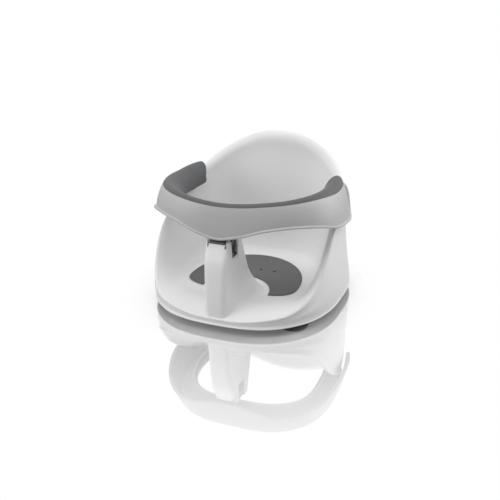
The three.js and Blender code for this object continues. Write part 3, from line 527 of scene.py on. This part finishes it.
def footRing(up, sink=0.0):          # a ring at a height over the seat, spread into the fillet
    plain = shell["panHeight"] + up
    level = smoothStep(up, 0, post["flareHeight"] - shell["panHeight"])
    spread = (1 - math.sqrt(min(up / post["filletRise"], 1))) ** 2
    ring = []
    for side in postSides():
        back = (1 - math.cos(side)) / 2
        reach = mix(post["filletFront"], post["fillet"], smoothStep(back, 0.02, 0.3)) * spread
        height = plain
        for _ in range(3):
            x, y = postPoint(side, height, 0)
            beside = postPoint(side + 0.01, height, 0)
            before = postPoint(side - 0.01, height, 0)
            way = Vector((beside[0] - before[0], beside[1] - before[1])).normalized()
            x, y = x + way.y * reach, y - way.x * reach
            height = mix(heightOnShell(x, y) + up, plain, level)
        ring.append((x, y, height - sink))
    return ring


def postOuter():
    rings = [footRing(0, shell["wall"] / 2), footRing(0, post["sink"])]
    rises = [post["filletRise"] * (step / 9) ** 2 for step in range(1, 10)]
    top = post["top"] - shell["panHeight"] - post["topRound"]
    rises += list(np.linspace(post["filletRise"], top, 26)[1:])
    rings += [footRing(up, post["sink"] * max(0, 1 - up / 2)) for up in rises]
    for step in range(1, 7):
        angle = math.pi / 2 * step / 6
        inset = post["topRound"] * (1 - math.cos(angle))
        rings.append(ringAt(post["top"] - post["topRound"] * (1 - math.sin(angle)), inset))
    return stackedRings("postOuter", rings)


def postHollow(overrun=2):
    top = saddleFloor - shell["wall"]
    return stackedRings("postHollow", [ringAt(height, shell["wall"])
                                       for height in np.linspace(post["base"] - overrun, top, 24)])


# Suction cups and the bosses that hold them

cup = {
    "radius": 24, "lip": 0.8, "ring": 2, "hollow": 3, "neckRadius": 8.5, "neckHeight": 10.5,
    "stemRadius": 6.3, "stemLength": 11, "bossRadius": 10.5, "skirtShare": 0.55, "domeShare": 0.5,
    "frontX": 117, "frontY": -94, "rearX": 98, "rearY": 92, "sides": 72,
}
cupPlaces = {
    "front_left": (-cup["frontX"], cup["frontY"]), "front_right": (cup["frontX"], cup["frontY"]),
    "rear_left": (-cup["rearX"], cup["rearY"]), "rear_right": (cup["rearX"], cup["rearY"]),
}
gaps = {"touch": 0.3, "slide": 0.6, "overrun": 2}

latch = {
    "front": -122, "prongDepth": 12, "prongThickness": 2.2, "plateDepth": 27,
    "windowLead": 7.5, "windowDepth": 23.5, "windowBottom": 124, "scoopRadius": 9, "scoopDip": 1.6, "scoopRise": 1,
    "drainRadius": 2.5, "drainPitch": 26, "drainY": 11, "drainCount": 4,
    "buttonDepth": 6.4, "buttonLow": 131, "buttonHeight": 13,
}


def addShell():
    piece = turnedRows("seatShell", [shellRow(turn * index / shell["angles"]) for index in range(shell["angles"])])
    combine(piece, postOuter(), "UNION")
    combine(piece, postHollow(), "DIFFERENCE")
    bottom = shell["rimHeight"]
    filled = turnedRows("filled", [filledRow(turn * index / 96) for index in range(96)])
    for x, y in cupPlaces.values():
        boss = bore(cup["bossRadius"], bottom, shell["lipBackHeight"], x, y, 56)
        spare = filled.copy()
        spare.data = filled.data.copy()
        bpy.context.scene.collection.objects.link(spare)
        combine(boss, spare, "INTERSECT")
        combine(piece, boss, "UNION")
        stemTop = bottom + cup["stemLength"] + gaps["touch"]
        combine(piece, bore(cup["stemRadius"] + gaps["touch"], bottom - gaps["overrun"], stemTop, x, y), "DIFFERENCE")
    bpy.data.objects.remove(filled)
    for tool in headTools():
        combine(piece, tool, "DIFFERENCE")
    for x in drainPlaces():
        low = shell["panHeight"] - shell["wall"] - gaps["overrun"]
        hole = bore(latch["drainRadius"], low, shell["panHeight"] + gaps["overrun"], x, latch["drainY"])
        combine(piece, hole, "DIFFERENCE")
    shadeSmooth(piece, 38)
    finishPiece(piece, "base", finish["shellGloss"], ["seat_shell"])


def headTools():                     # what is cut out of the post's head: windows, slots, slits and the saddle
    inner = post["halfWidth"] - shell["wall"] - gaps["slide"] - latch["prongThickness"]
    outer, over = inner + latch["prongThickness"], gaps["overrun"]
    top, roof = post["top"] + over, saddleFloor - shell["wall"]
    front, plateFront = post["frontTop"] - over, latch["front"] - gaps["slide"]
    windowFront = latch["front"] - latch["windowLead"]
    windowBack = windowFront + latch["windowDepth"]
    tongue = post["tongueHalfWidth"] + gaps["slide"]
    tools = []
    for side in (-1, 1):
        low, high = sideways(side, inner, post["halfWidth"] + over)
        window = block("window", (low, windowFront, latch["windowBottom"]), (high, windowBack, top + over))
        softenEdges(window, 2.2, 4)
        settle(window)
        scoop = bore(latch["scoopRadius"], -windowBack, -windowFront, 0, 0, 56)
        scoop.data.transform(Matrix.Rotation(math.pi / 2, 4, "X"))
        away = side * (post["halfWidth"] + latch["scoopRadius"] - latch["scoopDip"])
        scoop.data.transform(Matrix.Translation(Vector((away, 0, latch["windowBottom"] + latch["scoopRise"])) * mm))
        low, high = sideways(side, inner - gaps["slide"], outer + gaps["slide"])
        slot = block("slot", (low, plateFront, roof - over), (high, plateFront + latch["prongDepth"] + 2 * gaps["slide"], top))
        low, high = sideways(side, tongue, tongue + post["slitWidth"])
        slit = block("slit", (low, front, saddleFloor - post["slitDrop"]), (high, post["frontTop"] + post["slitDepth"], top))
        softenEdges(slit, 0.8)
        settle(slit)
        tools += [window, scoop, slot, slit]
    wide = outer + gaps["slide"]
    plateBack = latch["front"] + latch["plateDepth"] + gaps["slide"]
    saddle = block("saddleFront", (-tongue, front, saddleFloor), (tongue, latch["front"], top))
    combine(saddle, block("saddleBack", (-wide, plateFront, saddleFloor), (wide, plateBack, top)), "UNION")
    return tools + [saddle]


def sideways(side, inner, outer):
    return sorted((side * inner, side * outer))


def drainPlaces():
    return [(index - (latch["drainCount"] - 1) / 2) * latch["drainPitch"] for index in range(latch["drainCount"])]


addShell()
print("stage: shell ready")


# Seat pad: a flat foam-rubber mat with a bay in front and four drain holes

pad = {
    "halfWidth": 103, "front": -81, "widest": -38, "back": 72, "frontPower": 3, "backPower": 2,
    "thickness": 2.2, "notchRadius": 62, "notchY": -81, "round": 0.9, "crown": 0.35,
    "outlineSteps": 180, "rows": 16,
}


def padOutline():                    # right side of the bay, round the back, to its left side, then the bay
    outer = []
    for step in range(4 * pad["outlineSteps"]):
        angle = turn * step / (4 * pad["outlineSteps"])
        front = math.cos(angle) > 0
        depth = pad["widest"] - pad["front"] if front else pad["back"] - pad["widest"]
        power = pad["frontPower"] if front else pad["backPower"]
        radius = roundedRadius(angle, pad["halfWidth"], depth, power)
        point = (radius * math.sin(angle), pad["widest"] - radius * math.cos(angle))
        if math.hypot(point[0], point[1] - pad["notchY"]) > pad["notchRadius"]:
            outer.append(point)
    outer = evenly(np.array(outer), pad["outlineSteps"])
    start = math.atan2(outer[-1][0], outer[-1][1] - pad["notchY"])
    turns = np.linspace(start, -start, pad["outlineSteps"] + 2)[1:-1]
    bay = np.stack([pad["notchRadius"] * np.sin(turns),
                    pad["notchY"] + pad["notchRadius"] * np.cos(turns)], axis=1)
    return outer, bay


def addPad():
    outer, bay = padOutline()
    low = shell["panHeight"] + gaps["touch"]
    middle = (outer + bay[::-1]) / 2
    ease = np.sin(np.pi * np.arange(len(middle)) / (len(middle) - 1))[:, None] ** 0.5
    ends = np.vstack([np.repeat(middle[:1], len(middle) // 2, 0), np.repeat(middle[-1:], len(middle) - len(middle) // 2, 0)])
    spine = mix(ends, middle, 1)
    outline = np.vstack([outer, bay])
    core = np.vstack([spine, spine[::-1]])
    rings = []
    turns = np.linspace(0, math.pi / 2, 5)
    length = np.maximum(np.linalg.norm(core - outline, axis=1, keepdims=True), 1e-6)
    for angle in turns:              # the lower edge's round, then the upper one's
        inset = pad["round"] * (1 - math.sin(angle))
        rings.append((outline + (core - outline) * np.minimum(inset / length, 1), low + pad["round"] * (1 - math.cos(angle))))
    for angle in turns[::-1]:
        inset = pad["round"] * (1 - math.sin(angle))
        top = low + pad["thickness"] - pad["crown"]
        rings.append((outline + (core - outline) * np.minimum(inset / length, 1), top - pad["round"] * (1 - math.cos(angle))))
    for row in range(1, pad["rows"]):
        way = row / pad["rows"]
        place = outline + (core - outline) * np.minimum(pad["round"] / length, 1)
        top = low + pad["thickness"] - pad["crown"] * (1 - way) ** 2
        rings.append((mix(place, core, way), top))
    count = len(outline)
    points = np.vstack([np.column_stack([ring, np.full(count, height)]) for ring, height in rings])
    faces = []
    for row in range(len(rings) - 1):
        for side in range(count):
            here, beside = row * count + side, row * count + (side + 1) % count
            faces.append((here, beside, beside + count, here + count))
    last = (len(rings) - 1) * count
    half = count // 2
    for side in range(half - 1):     # closes the seam along the spine
        faces.append((last + side, last + side + 1, last + count - 2 - side, last + count - 1 - side))
    under = [tuple(range(count))]
    piece = meshPiece("seatPad", points, faces + under)
    for x in drainPlaces():
        hole = bore(latch["drainRadius"], low - gaps["overrun"], low + 2 * gaps["overrun"], x, latch["drainY"])
        combine(piece, hole, "DIFFERENCE")
    shadeSmooth(piece, 50)
    finishPiece(piece, "base", finish["padRubber"], ["seat_pad"])


addPad()
print("stage: pad ready")


def cupProfile():
    shoulder = shell["rimHeight"] - gaps["touch"]
    inner, outer = cup["radius"] - cup["lip"] - cup["ring"], cup["radius"]
    under = smoothLine([(cup["neckRadius"], cup["hollow"]), (mix(cup["neckRadius"], inner, 0.55), 1.9), (inner, 0)], 8)
    edge = [(inner + cup["ring"], 0), (outer - 0.25, 0.15), (outer, cup["lip"]), (outer - 0.35, cup["lip"] + 0.7)]
    skirtRadius = mix(cup["neckRadius"], outer, cup["skirtShare"])
    skirtHeight = mix(cup["lip"], cup["neckHeight"], cup["domeShare"])
    dome = smoothLine([edge[-1], (skirtRadius, skirtHeight), (cup["neckRadius"] + 0.6, cup["neckHeight"] - 0.8),
                       (cup["neckRadius"] + 0.2, cup["neckHeight"] + 0.4), (cup["bossRadius"], shoulder - 0.6)], 8)
    stemTop = shell["rimHeight"] + cup["stemLength"]
    stem = [(cup["bossRadius"], shoulder), (cup["stemRadius"], shoulder), (cup["stemRadius"], stemTop - 0.8),
            (cup["stemRadius"] - 0.8, stemTop)]
    return np.vstack([[(0, cup["hollow"])], under, edge[:-1], dome, stem, [(0, stemTop)]])


def addCups():
    for place, (x, y) in cupPlaces.items():
        side, end = place.split("_")
        piece = lathed(f"suctionCup_{side}_{end}", cupProfile(), cup["sides"], x, y)
        shadeSmooth(piece, 45)
        finishPiece(piece, "base", finish["cupRubber"], [f"suction_cup_{place}"])


addCups()
print("stage: cups ready")


# Safety bar: every section is given across the bar and up from its top outer edge

bar = {
    "halfWidth": 155, "centreY": 20, "frontDepth": 147, "backDepth": 150, "power": 2.34, "endAngle": 115,
    "tableStep": 15, "topBack": 203, "topRise": 14.5, "topShares": [0.74, 0.84, 0.99, 1, 0.86, 0.5, 0, -0.17, -0.3],
    "stations": 220, "crowding": 1.38,
}
band = {
    "lowHeight": 142, "lowRise": 39, "lowShares": [0.446, 0.641, 0.944, 1, 0.795, 0.397, 0.167, 0.026, -0.026],
    "flare": 18, "flareShares": [0.69, 0.73, 0.82, 0.93, 1.04, 1.05, 1, 0.9, 0.6], "wall": 2.6,
    "outShares": [0, 0.13, 0.3, 0.47, 0.61, 0.7, 0.76, 0.79, 0.8], "downShares": [0, 0.08, 0.22, 0.4, 0.58, 0.74, 0.86, 0.94, 1],
    "endRound": 16, "endShare": 0.45, "beadShare": 0.2, "beadWidth": 4.2, "beadFade": 1.6, "beadRound": 1.1,
    "beadZone": 7, "beadRows": 18, "rows": 44,
}
padding = {
    "frameWall": 2.4, "frameWidth": 28, "frameDrop": 38,
    "frameInShares": [0.13, 0.22, 0.36, 0.5, 0.72, 0.9, 0.98, 0.98, 1.08],
    "frameDownShares": [0.12, 0.12, 0.12, 0.13, 0.28, 0.47, 0.68, 0.93, 1],
    "width": 36, "rise": 4, "drop": 35.5,
    "inShares": [0, 0.08, 0.22, 0.4, 0.62, 0.84, 0.97, 1, 0.94],
    "upShares": [0.06, 0.72, 1, 0.95, 0.72, 0.35, 0.08, 0, 0],
    "downShares": [0, 0, 0, 0.06, 0.2, 0.41, 0.65, 0.9, 1],
    "swellShare": 0.45, "swellAlongShares": [0, 0, 0, 0.1, 0.35, 0.7, 1, 1, 1],
    "riseShares": [1, 1, 1, 1.1, 1.4, 2, 2.9, 3.1, 2.9], "dropShares": [1, 1, 1, 0.95, 0.86, 0.76, 0.68, 0.63, 0.6],
    "endRound": 22, "endShare": 0.5, "narrowShare": 0.1, "tipRound": 11, "tipPower": 2.5, "tipUpShare": 0.1,
    "tipInShare": 0.35, "leanShare": 0.7, "leanLength": 40, "leanDrop": 9,
}
endAngle = math.radians(bar["endAngle"])


def barTable(shares, angle):
    return smoothTable(shares, abs(angle) / math.radians(bar["tableStep"]))


def barPoint(angle):
    depth = bar["frontDepth"] if math.cos(angle) > 0 else bar["backDepth"]
    radius = roundedRadius(angle, bar["halfWidth"], depth, bar["power"])
    return np.array([radius * math.sin(angle), bar["centreY"] - radius * math.cos(angle)])


def barOutward(angle, step=0.001):
    along = barPoint(angle + step) - barPoint(angle - step)
    along /= np.linalg.norm(along)
    return np.array([along[1], -along[0]])


def barTopAt(angle):
    return bar["topBack"] + bar["topRise"] * barTable(bar["topShares"], angle)


def bandHeightAt(angle):
    low = band["lowHeight"] + band["lowRise"] * barTable(band["lowShares"], angle)
    return barTopAt(angle) - low


def leftToEnd(angle):
    return (endAngle - abs(angle)) * bar["halfWidth"]


def endShare(angle, length, least):
    way = min(max(1 - leftToEnd(angle) / length, 0), 1)
    return mix(least, 1, math.sqrt(1 - way * way))


def onBar(angle, section):
    place, outward, top = barPoint(angle), barOutward(angle), barTopAt(angle)
    flat = place + section[:, :1] * outward
    return np.column_stack([flat, top + section[:, 1]])


def barAngles():
    ways = np.linspace(-1, 1, bar["stations"] + 1)
    return endAngle * np.sin(ways * bar["crowding"]) / math.sin(bar["crowding"])


def leanedBack(angle, ring):         # leans the padded ends back, so that their tops reach furthest
    share = 1 - smoothStep(leftToEnd(angle), 0, padding["leanLength"])
    rise = np.clip(ring[:, 2] - barTopAt(angle), -padding["leanDrop"], None)
    outward = barOutward(angle)
    way = math.copysign(1, angle) * np.array([-outward[1], outward[0]])
    ring[:, :2] += (share * padding["leanShare"] * rise)[:, None] * way
    return ring


def sweptBar(name, sections, leaned=False):      # closed sections, one at each angle
    rings = [onBar(angle, section) for angle, section in sections]
    if leaned:
        rings = [leanedBack(angle, ring) for (angle, _), ring in zip(sections, rings)]
    return stackedRings(name, rings)


def bandEdgeLine():                  # the band's free edge, unrolled: distance left to the end, height below the top
    angles = np.linspace(0, endAngle, 240)
    low = [(leftToEnd(angle), bandHeightAt(angle) * endShare(angle, band["endRound"], band["endShare"]))
           for angle in angles]
    return np.array(low + [(0, 0)])


edgeLine = bandEdgeLine()


def bandSection(angle):
    flare = band["flare"] * barTable(band["flareShares"], angle)
    full = bandHeightAt(angle) * endShare(angle, band["endRound"], band["endShare"])
    line = smoothLine(np.column_stack([band["outShares"], band["downShares"]]), 7)
    beadStart = 1 - band["beadZone"] / full
    beadShares = mix(beadStart, 1, 1 - (1 - np.linspace(0, 1, band["beadRows"])) ** 1.3)
    downs = np.concatenate([np.linspace(0, beadStart, band["rows"])[:-1], beadShares])
    outs = np.interp(downs, line[:, 1], line[:, 0]) * flare
    left = np.full(len(downs), leftToEnd(angle))
    away = distanceTo(edgeLine, np.column_stack([left, downs * full]))
    bead = 1 - smoothStep(away, band["beadWidth"] - band["beadFade"], band["beadWidth"])
    rolled = 1 - np.sqrt(1 - np.clip(1 - away / band["beadRound"], 0, 1) ** 2)
    nearTop = smoothStep(downs * full, 0, 6)
    front = outs + nearTop * (flare * band["beadShare"] * bead - band["beadRound"] * rolled)
    back = outs - band["wall"]
    return np.vstack([np.column_stack([front, -downs * full]), np.column_stack([back, -downs * full])[::-1]])


def frameLine(angle):
    share = endShare(angle, padding["endRound"], padding["endShare"])
    width = padding["frameWidth"] * mix(1, share, padding["narrowShare"])
    drop = padding["frameDrop"] * barTable(padding["dropShares"], angle) * share
    return np.column_stack([-width * np.array(padding["frameInShares"]), -drop * np.array(padding["frameDownShares"])])


def tipScale(angle, section, inset):  # draws a section in to a rounded tip at the bar's ends
    left = leftToEnd(angle) - inset
    way = min(max(1 - left / padding["tipRound"], 0), 0.999)
    scale = (1 - way ** padding["tipPower"]) ** (1 / padding["tipPower"])
    drop = padding["drop"] * barTable(padding["dropShares"], angle)
    heart = np.array([-padding["width"] * padding["tipInShare"], -drop * padding["tipUpShare"]])
    return heart + (section - heart) * (scale, scale)


def frameSection(angle):
    line = smoothLine(frameLine(angle), 5)
    section = np.vstack([line, besideLine(line, padding["frameWall"])[::-1]])
    return tipScale(angle, section, 0)


def bumperSection(angle):
    share = endShare(angle, padding["endRound"], padding["endShare"])
    width = padding["width"] * mix(1, share, padding["narrowShare"])
    rise = padding["rise"] * barTable(padding["riseShares"], angle)
    drop = padding["drop"] * barTable(padding["dropShares"], angle) * share
    ins = np.array(padding["inShares"])
    ins = ins + padding["swellShare"] * barTable(padding["swellAlongShares"], angle) * ins * (1 - ins)
    front = np.column_stack([-width * ins,
                             rise * np.array(padding["upShares"]) - drop * np.array(padding["downShares"])])
    front[0] = (0, gaps["touch"])
    back = besideLine(smoothLine(frameLine(angle), 5), -gaps["touch"])
    back[0] = (-band["wall"], gaps["touch"])
    return tipScale(angle, np.vstack([smoothLine(front, 6), back[::-1]]), 0)


def addBar():
    outer = sweptBar("barOuterBand", [(angle, bandSection(angle)) for angle in barAngles()])
    softenEdges(outer, 0.7)
    shadeSmooth(outer, 40)
    finishPiece(outer, "bar", finish["bandPlastic"], ["bar_outer_band"])
    inner = sweptBar("barInnerFrame", [(angle, frameSection(angle)) for angle in barAngles()], True)
    softenEdges(inner, 0.6)
    shadeSmooth(inner, 40)
    finishPiece(inner, "bar", finish["bandPlastic"], ["bar_inner_frame"])
    bumper = sweptBar("barBumper", [(angle, bumperSection(angle)) for angle in barAngles()], True)
    softenEdges(bumper, 1.2, 4)
    shadeSmooth(bumper, 60)
    finishPiece(bumper, "bar", finish["bumperRubber"], ["bar_bumper"])


addBar()
print("stage: bar ready")


# Release springs: round wire in closed coils at both ends

spring = {"radius": 1.7, "wire": 0.35, "turns": 7, "endTurns": 1, "start": 1.45, "end": 19.25, "y": -116, "z": 137.5,
          "steps": 26, "sides": 10, "travel": 6.5, "seat": 1.1}


def addSpring(place, side):
    count = spring["turns"] * spring["steps"]
    ways = np.arange(count + 1) / count
    angles = turn * spring["turns"] * ways
    closed = spring["endTurns"] / spring["turns"]
    pitch = smoothStep(ways, closed / 2, closed) * (1 - smoothStep(ways, 1 - closed, 1 - closed / 2)) + 0.16
    along = np.concatenate([[0], np.cumsum(pitch[1:])]) / pitch[1:].sum()
    middle = np.column_stack([mix(spring["start"], spring["end"], along),
                              spring["y"] + spring["radius"] * np.cos(angles),
                              spring["z"] + spring["radius"] * np.sin(angles)])
    ways = np.gradient(middle, axis=0)
    ways /= np.linalg.norm(ways, axis=1, keepdims=True)
    out = np.column_stack([np.zeros(count + 1), np.cos(angles), np.sin(angles)])
    beside = np.cross(ways, out)
    rings = []
    for index in range(count + 1):
        turns = turn * np.arange(spring["sides"]) / spring["sides"]
        round = np.cos(turns)[:, None] * out[index] + np.sin(turns)[:, None] * beside[index]
        rings.append((middle[index] + spring["wire"] * round) * (side, 1, 1))
    piece = stackedRings(f"releaseSpring_{place}", rings)
    shadeSmooth(piece, 60)
    finishPiece(piece, "base", finish["steel"], [f"release_spring_{place}"])
    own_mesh(piece)


addSpring("left", -1)
addSpring("right", 1)
print("stage: springs ready")


# Latch, buttons, screws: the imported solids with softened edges

cadLooks = {
    # painted shade: the latch fork takes the dark rubber finish so that its front edge shows as the dark shadow strip
    # under the bar
    "latch_fork": ("bumperRubber", 0.5), "latch_block": ("innerPlastic", 0.4),
    "release_button_left": ("bumperRubber", 0.7), "release_button_right": ("bumperRubber", 0.7),
}


def dressNodes():
    for name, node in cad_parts.items():
        if node.hide_render:
            continue
        look, width = cadLooks.get(name, ("steel", 0.2))
        node.data.materials.clear()
        node.data.materials.append(finish[look])
        shadeSmooth(node, 35)
        softenEdges(node, width)


dressNodes()
print("stage: latch ready")


# Camera, floor and light

view = {"place": (0.59393, -1.31593, 0.73287), "azimuth": 24.404, "elevation": 24.238, "roll": -2.3005,
        "focalShare": 1.7525, "sensor": 36}
studio = {"floorSize": 12, "floorColor": (0.80, 0.80, 0.80), "floorBounce": 0.5, "floorGlow": 0.18,
          "mirror": 0.55, "mirrorFar": 0.26, "mirrorRoughness": 0.02, "mirrorFrom": 0.2, "mirrorTo": 0.42,
          "shadeFrom": 0.18, "shadeTo": 0.26,
          "zenith": 0.78, "horizon": 0.12, "topPower": 11, "leftPower": 13, "rightPower": 8.5, "sidePower": 9}


def addCamera():
    data = bpy.data.cameras.new("photoCamera")
    data.sensor_width = view["sensor"]
    data.lens = view["focalShare"] * view["sensor"]
    data.clip_end = 50
    camera = bpy.data.objects.new("photoCamera", data)
    bpy.context.scene.collection.objects.link(camera)
    tilt = Matrix.Rotation(math.radians(90 - view["elevation"]), 4, "X")
    roll = Matrix.Rotation(math.radians(view["roll"]), 4, "Z")
    camera.matrix_world = (Matrix.Translation(view["place"])
                           @ Matrix.Rotation(math.radians(view["azimuth"]), 4, "Z") @ tilt @ roll)
    bpy.context.scene.camera = camera


def floorFinish():                   # polished white floor: shaded near the object, plain white away from it
    material = bpy.data.materials.new("studioFloor")
    material.use_nodes = True
    tree = material.node_tree
    tree.nodes.clear()
    out = addNode(tree, "ShaderNodeOutputMaterial", "floor")
    place = addNode(tree, "ShaderNodeTexCoord", "place")
    distance = addNode(tree, "ShaderNodeVectorMath", "distance from the middle", operation="LENGTH")
    away = addNode(tree, "ShaderNodeMapRange", "away from the object", interpolation_type="SMOOTHSTEP")
    away.inputs["From Min"].default_value = studio["shadeFrom"]
    away.inputs["From Max"].default_value = studio["shadeTo"]
    path = addNode(tree, "ShaderNodeLightPath", "rays")
    matte = addNode(tree, "ShaderNodeBsdfDiffuse", "matte")
    matte.inputs["Color"].default_value = (*studio["floorColor"], 1)
    dim = addNode(tree, "ShaderNodeBsdfDiffuse", "what the floor throws back up")
    dim.inputs["Color"].default_value = (*[studio["floorBounce"]] * 3, 1)
    glow = addNode(tree, "ShaderNodeEmission", "lift")
    glow.inputs["Strength"].default_value = studio["floorGlow"]
    white = addNode(tree, "ShaderNodeEmission", "plain white")
    lifted = addNode(tree, "ShaderNodeAddShader", "lifted")
    near = addNode(tree, "ShaderNodeMixShader", "near or away")
    mirror = addNode(tree, "ShaderNodeBsdfGlossy", "polish")
    mirror.inputs["Color"].default_value = (1, 1, 1, 1)
    mirror.inputs["Roughness"].default_value = studio["mirrorRoughness"]
    share = addNode(tree, "ShaderNodeMapRange", "share of polish", interpolation_type="SMOOTHSTEP")
    share.inputs["From Min"].default_value = studio["mirrorFrom"]
    share.inputs["From Max"].default_value = studio["mirrorTo"]
    share.inputs["To Min"].default_value = studio["mirror"]
    share.inputs["To Max"].default_value = studio["mirrorFar"]
    polished = addNode(tree, "ShaderNodeMixShader", "polished floor")
    both = addNode(tree, "ShaderNodeMixShader", "seen or lighting")
    link = tree.links.new
    link(place.outputs["Object"], distance.inputs[0])
    link(distance.outputs["Value"], away.inputs["Value"])
    link(matte.outputs[0], lifted.inputs[0])
    link(glow.outputs[0], lifted.inputs[1])
    link(away.outputs["Result"], near.inputs["Fac"])
    link(lifted.outputs[0], near.inputs[1])
    link(white.outputs[0], near.inputs[2])
    link(distance.outputs["Value"], share.inputs["Value"])
    link(share.outputs["Result"], polished.inputs["Fac"])
    link(near.outputs[0], polished.inputs[1])
    link(mirror.outputs[0], polished.inputs[2])
    link(path.outputs["Is Camera Ray"], both.inputs["Fac"])
    link(dim.outputs[0], both.inputs[1])
    link(polished.outputs[0], both.inputs[2])
    link(both.outputs[0], out.inputs["Surface"])
    return material


def addFloor():
    half = studio["floorSize"] / 2 / mm
    floor = meshPiece("studioFloor", [(-half, -half, 0), (half, -half, 0), (half, half, 0), (-half, half, 0)], [(0, 1, 2, 3)])
    floor.data.materials.append(floorFinish())


def addWorld():                      # light mostly from above, and plain white where it is seen or mirrored
    world = bpy.data.worlds.new("studio")
    bpy.context.scene.world = world
    world.use_nodes = True
    tree = world.node_tree
    tree.nodes.clear()
    out = addNode(tree, "ShaderNodeOutputWorld", "world")
    air = addNode(tree, "ShaderNodeBackground", "light")
    white = addNode(tree, "ShaderNodeBackground", "plain white")
    for shade in (air, white):
        shade.inputs["Color"].default_value = (1, 1, 1, 1)
    both = addNode(tree, "ShaderNodeMixShader", "light or white")
    place = addNode(tree, "ShaderNodeTexCoord", "direction")
    axes = addNode(tree, "ShaderNodeSeparateXYZ", "height")
    level = addNode(tree, "ShaderNodeMapRange", "brighter above", interpolation_type="SMOOTHSTEP")
    level.inputs["To Min"].default_value = studio["horizon"]
    level.inputs["To Max"].default_value = studio["zenith"]
    path = addNode(tree, "ShaderNodeLightPath", "rays")
    seen = addNode(tree, "ShaderNodeMath", "seen or mirrored", operation="MAXIMUM")
    link = tree.links.new
    link(place.outputs["Generated"], axes.inputs[0])
    link(axes.outputs["Z"], level.inputs["Value"])
    link(level.outputs["Result"], air.inputs["Strength"])
    link(path.outputs["Is Camera Ray"], seen.inputs[0])
    link(path.outputs["Is Glossy Ray"], seen.inputs[1])
    link(seen.outputs[0], both.inputs["Fac"])
    link(air.outputs[0], both.inputs[1])
    link(white.outputs[0], both.inputs[2])
    link(both.outputs[0], out.inputs["Surface"])


def addLamp(name, power, size, place, target):
    data = bpy.data.lights.new(name, "AREA")
    data.energy = power
    data.shape = "DISK"
    data.size = size
    lamp = bpy.data.objects.new(name, data)
    lamp.location = place
    lamp.rotation_euler = (Vector(target) - Vector(place)).to_track_quat("-Z", "Y").to_euler()
    bpy.context.scene.collection.objects.link(lamp)


def addStudio():
    addFloor()
    addWorld()
    centre = (0, 0, 0.1)
    addLamp("topLight", studio["topPower"], 1.6, (-0.1, -0.2, 2.0), centre)
    addLamp("leftLight", studio["leftPower"], 1.3, (-1.5, -1.2, 0.9), centre)
    addLamp("rightLight", studio["rightPower"], 1.3, (1.4, 0.6, 1.3), centre)
    addLamp("sideLight", studio["sidePower"], 1.2, (1.3, 1.2, 0.35), centre)
    bpy.context.scene.view_settings.view_transform = "Standard"


addCamera()
addStudio()
print("stage: studio ready")

bpy.context.view_layer.update()
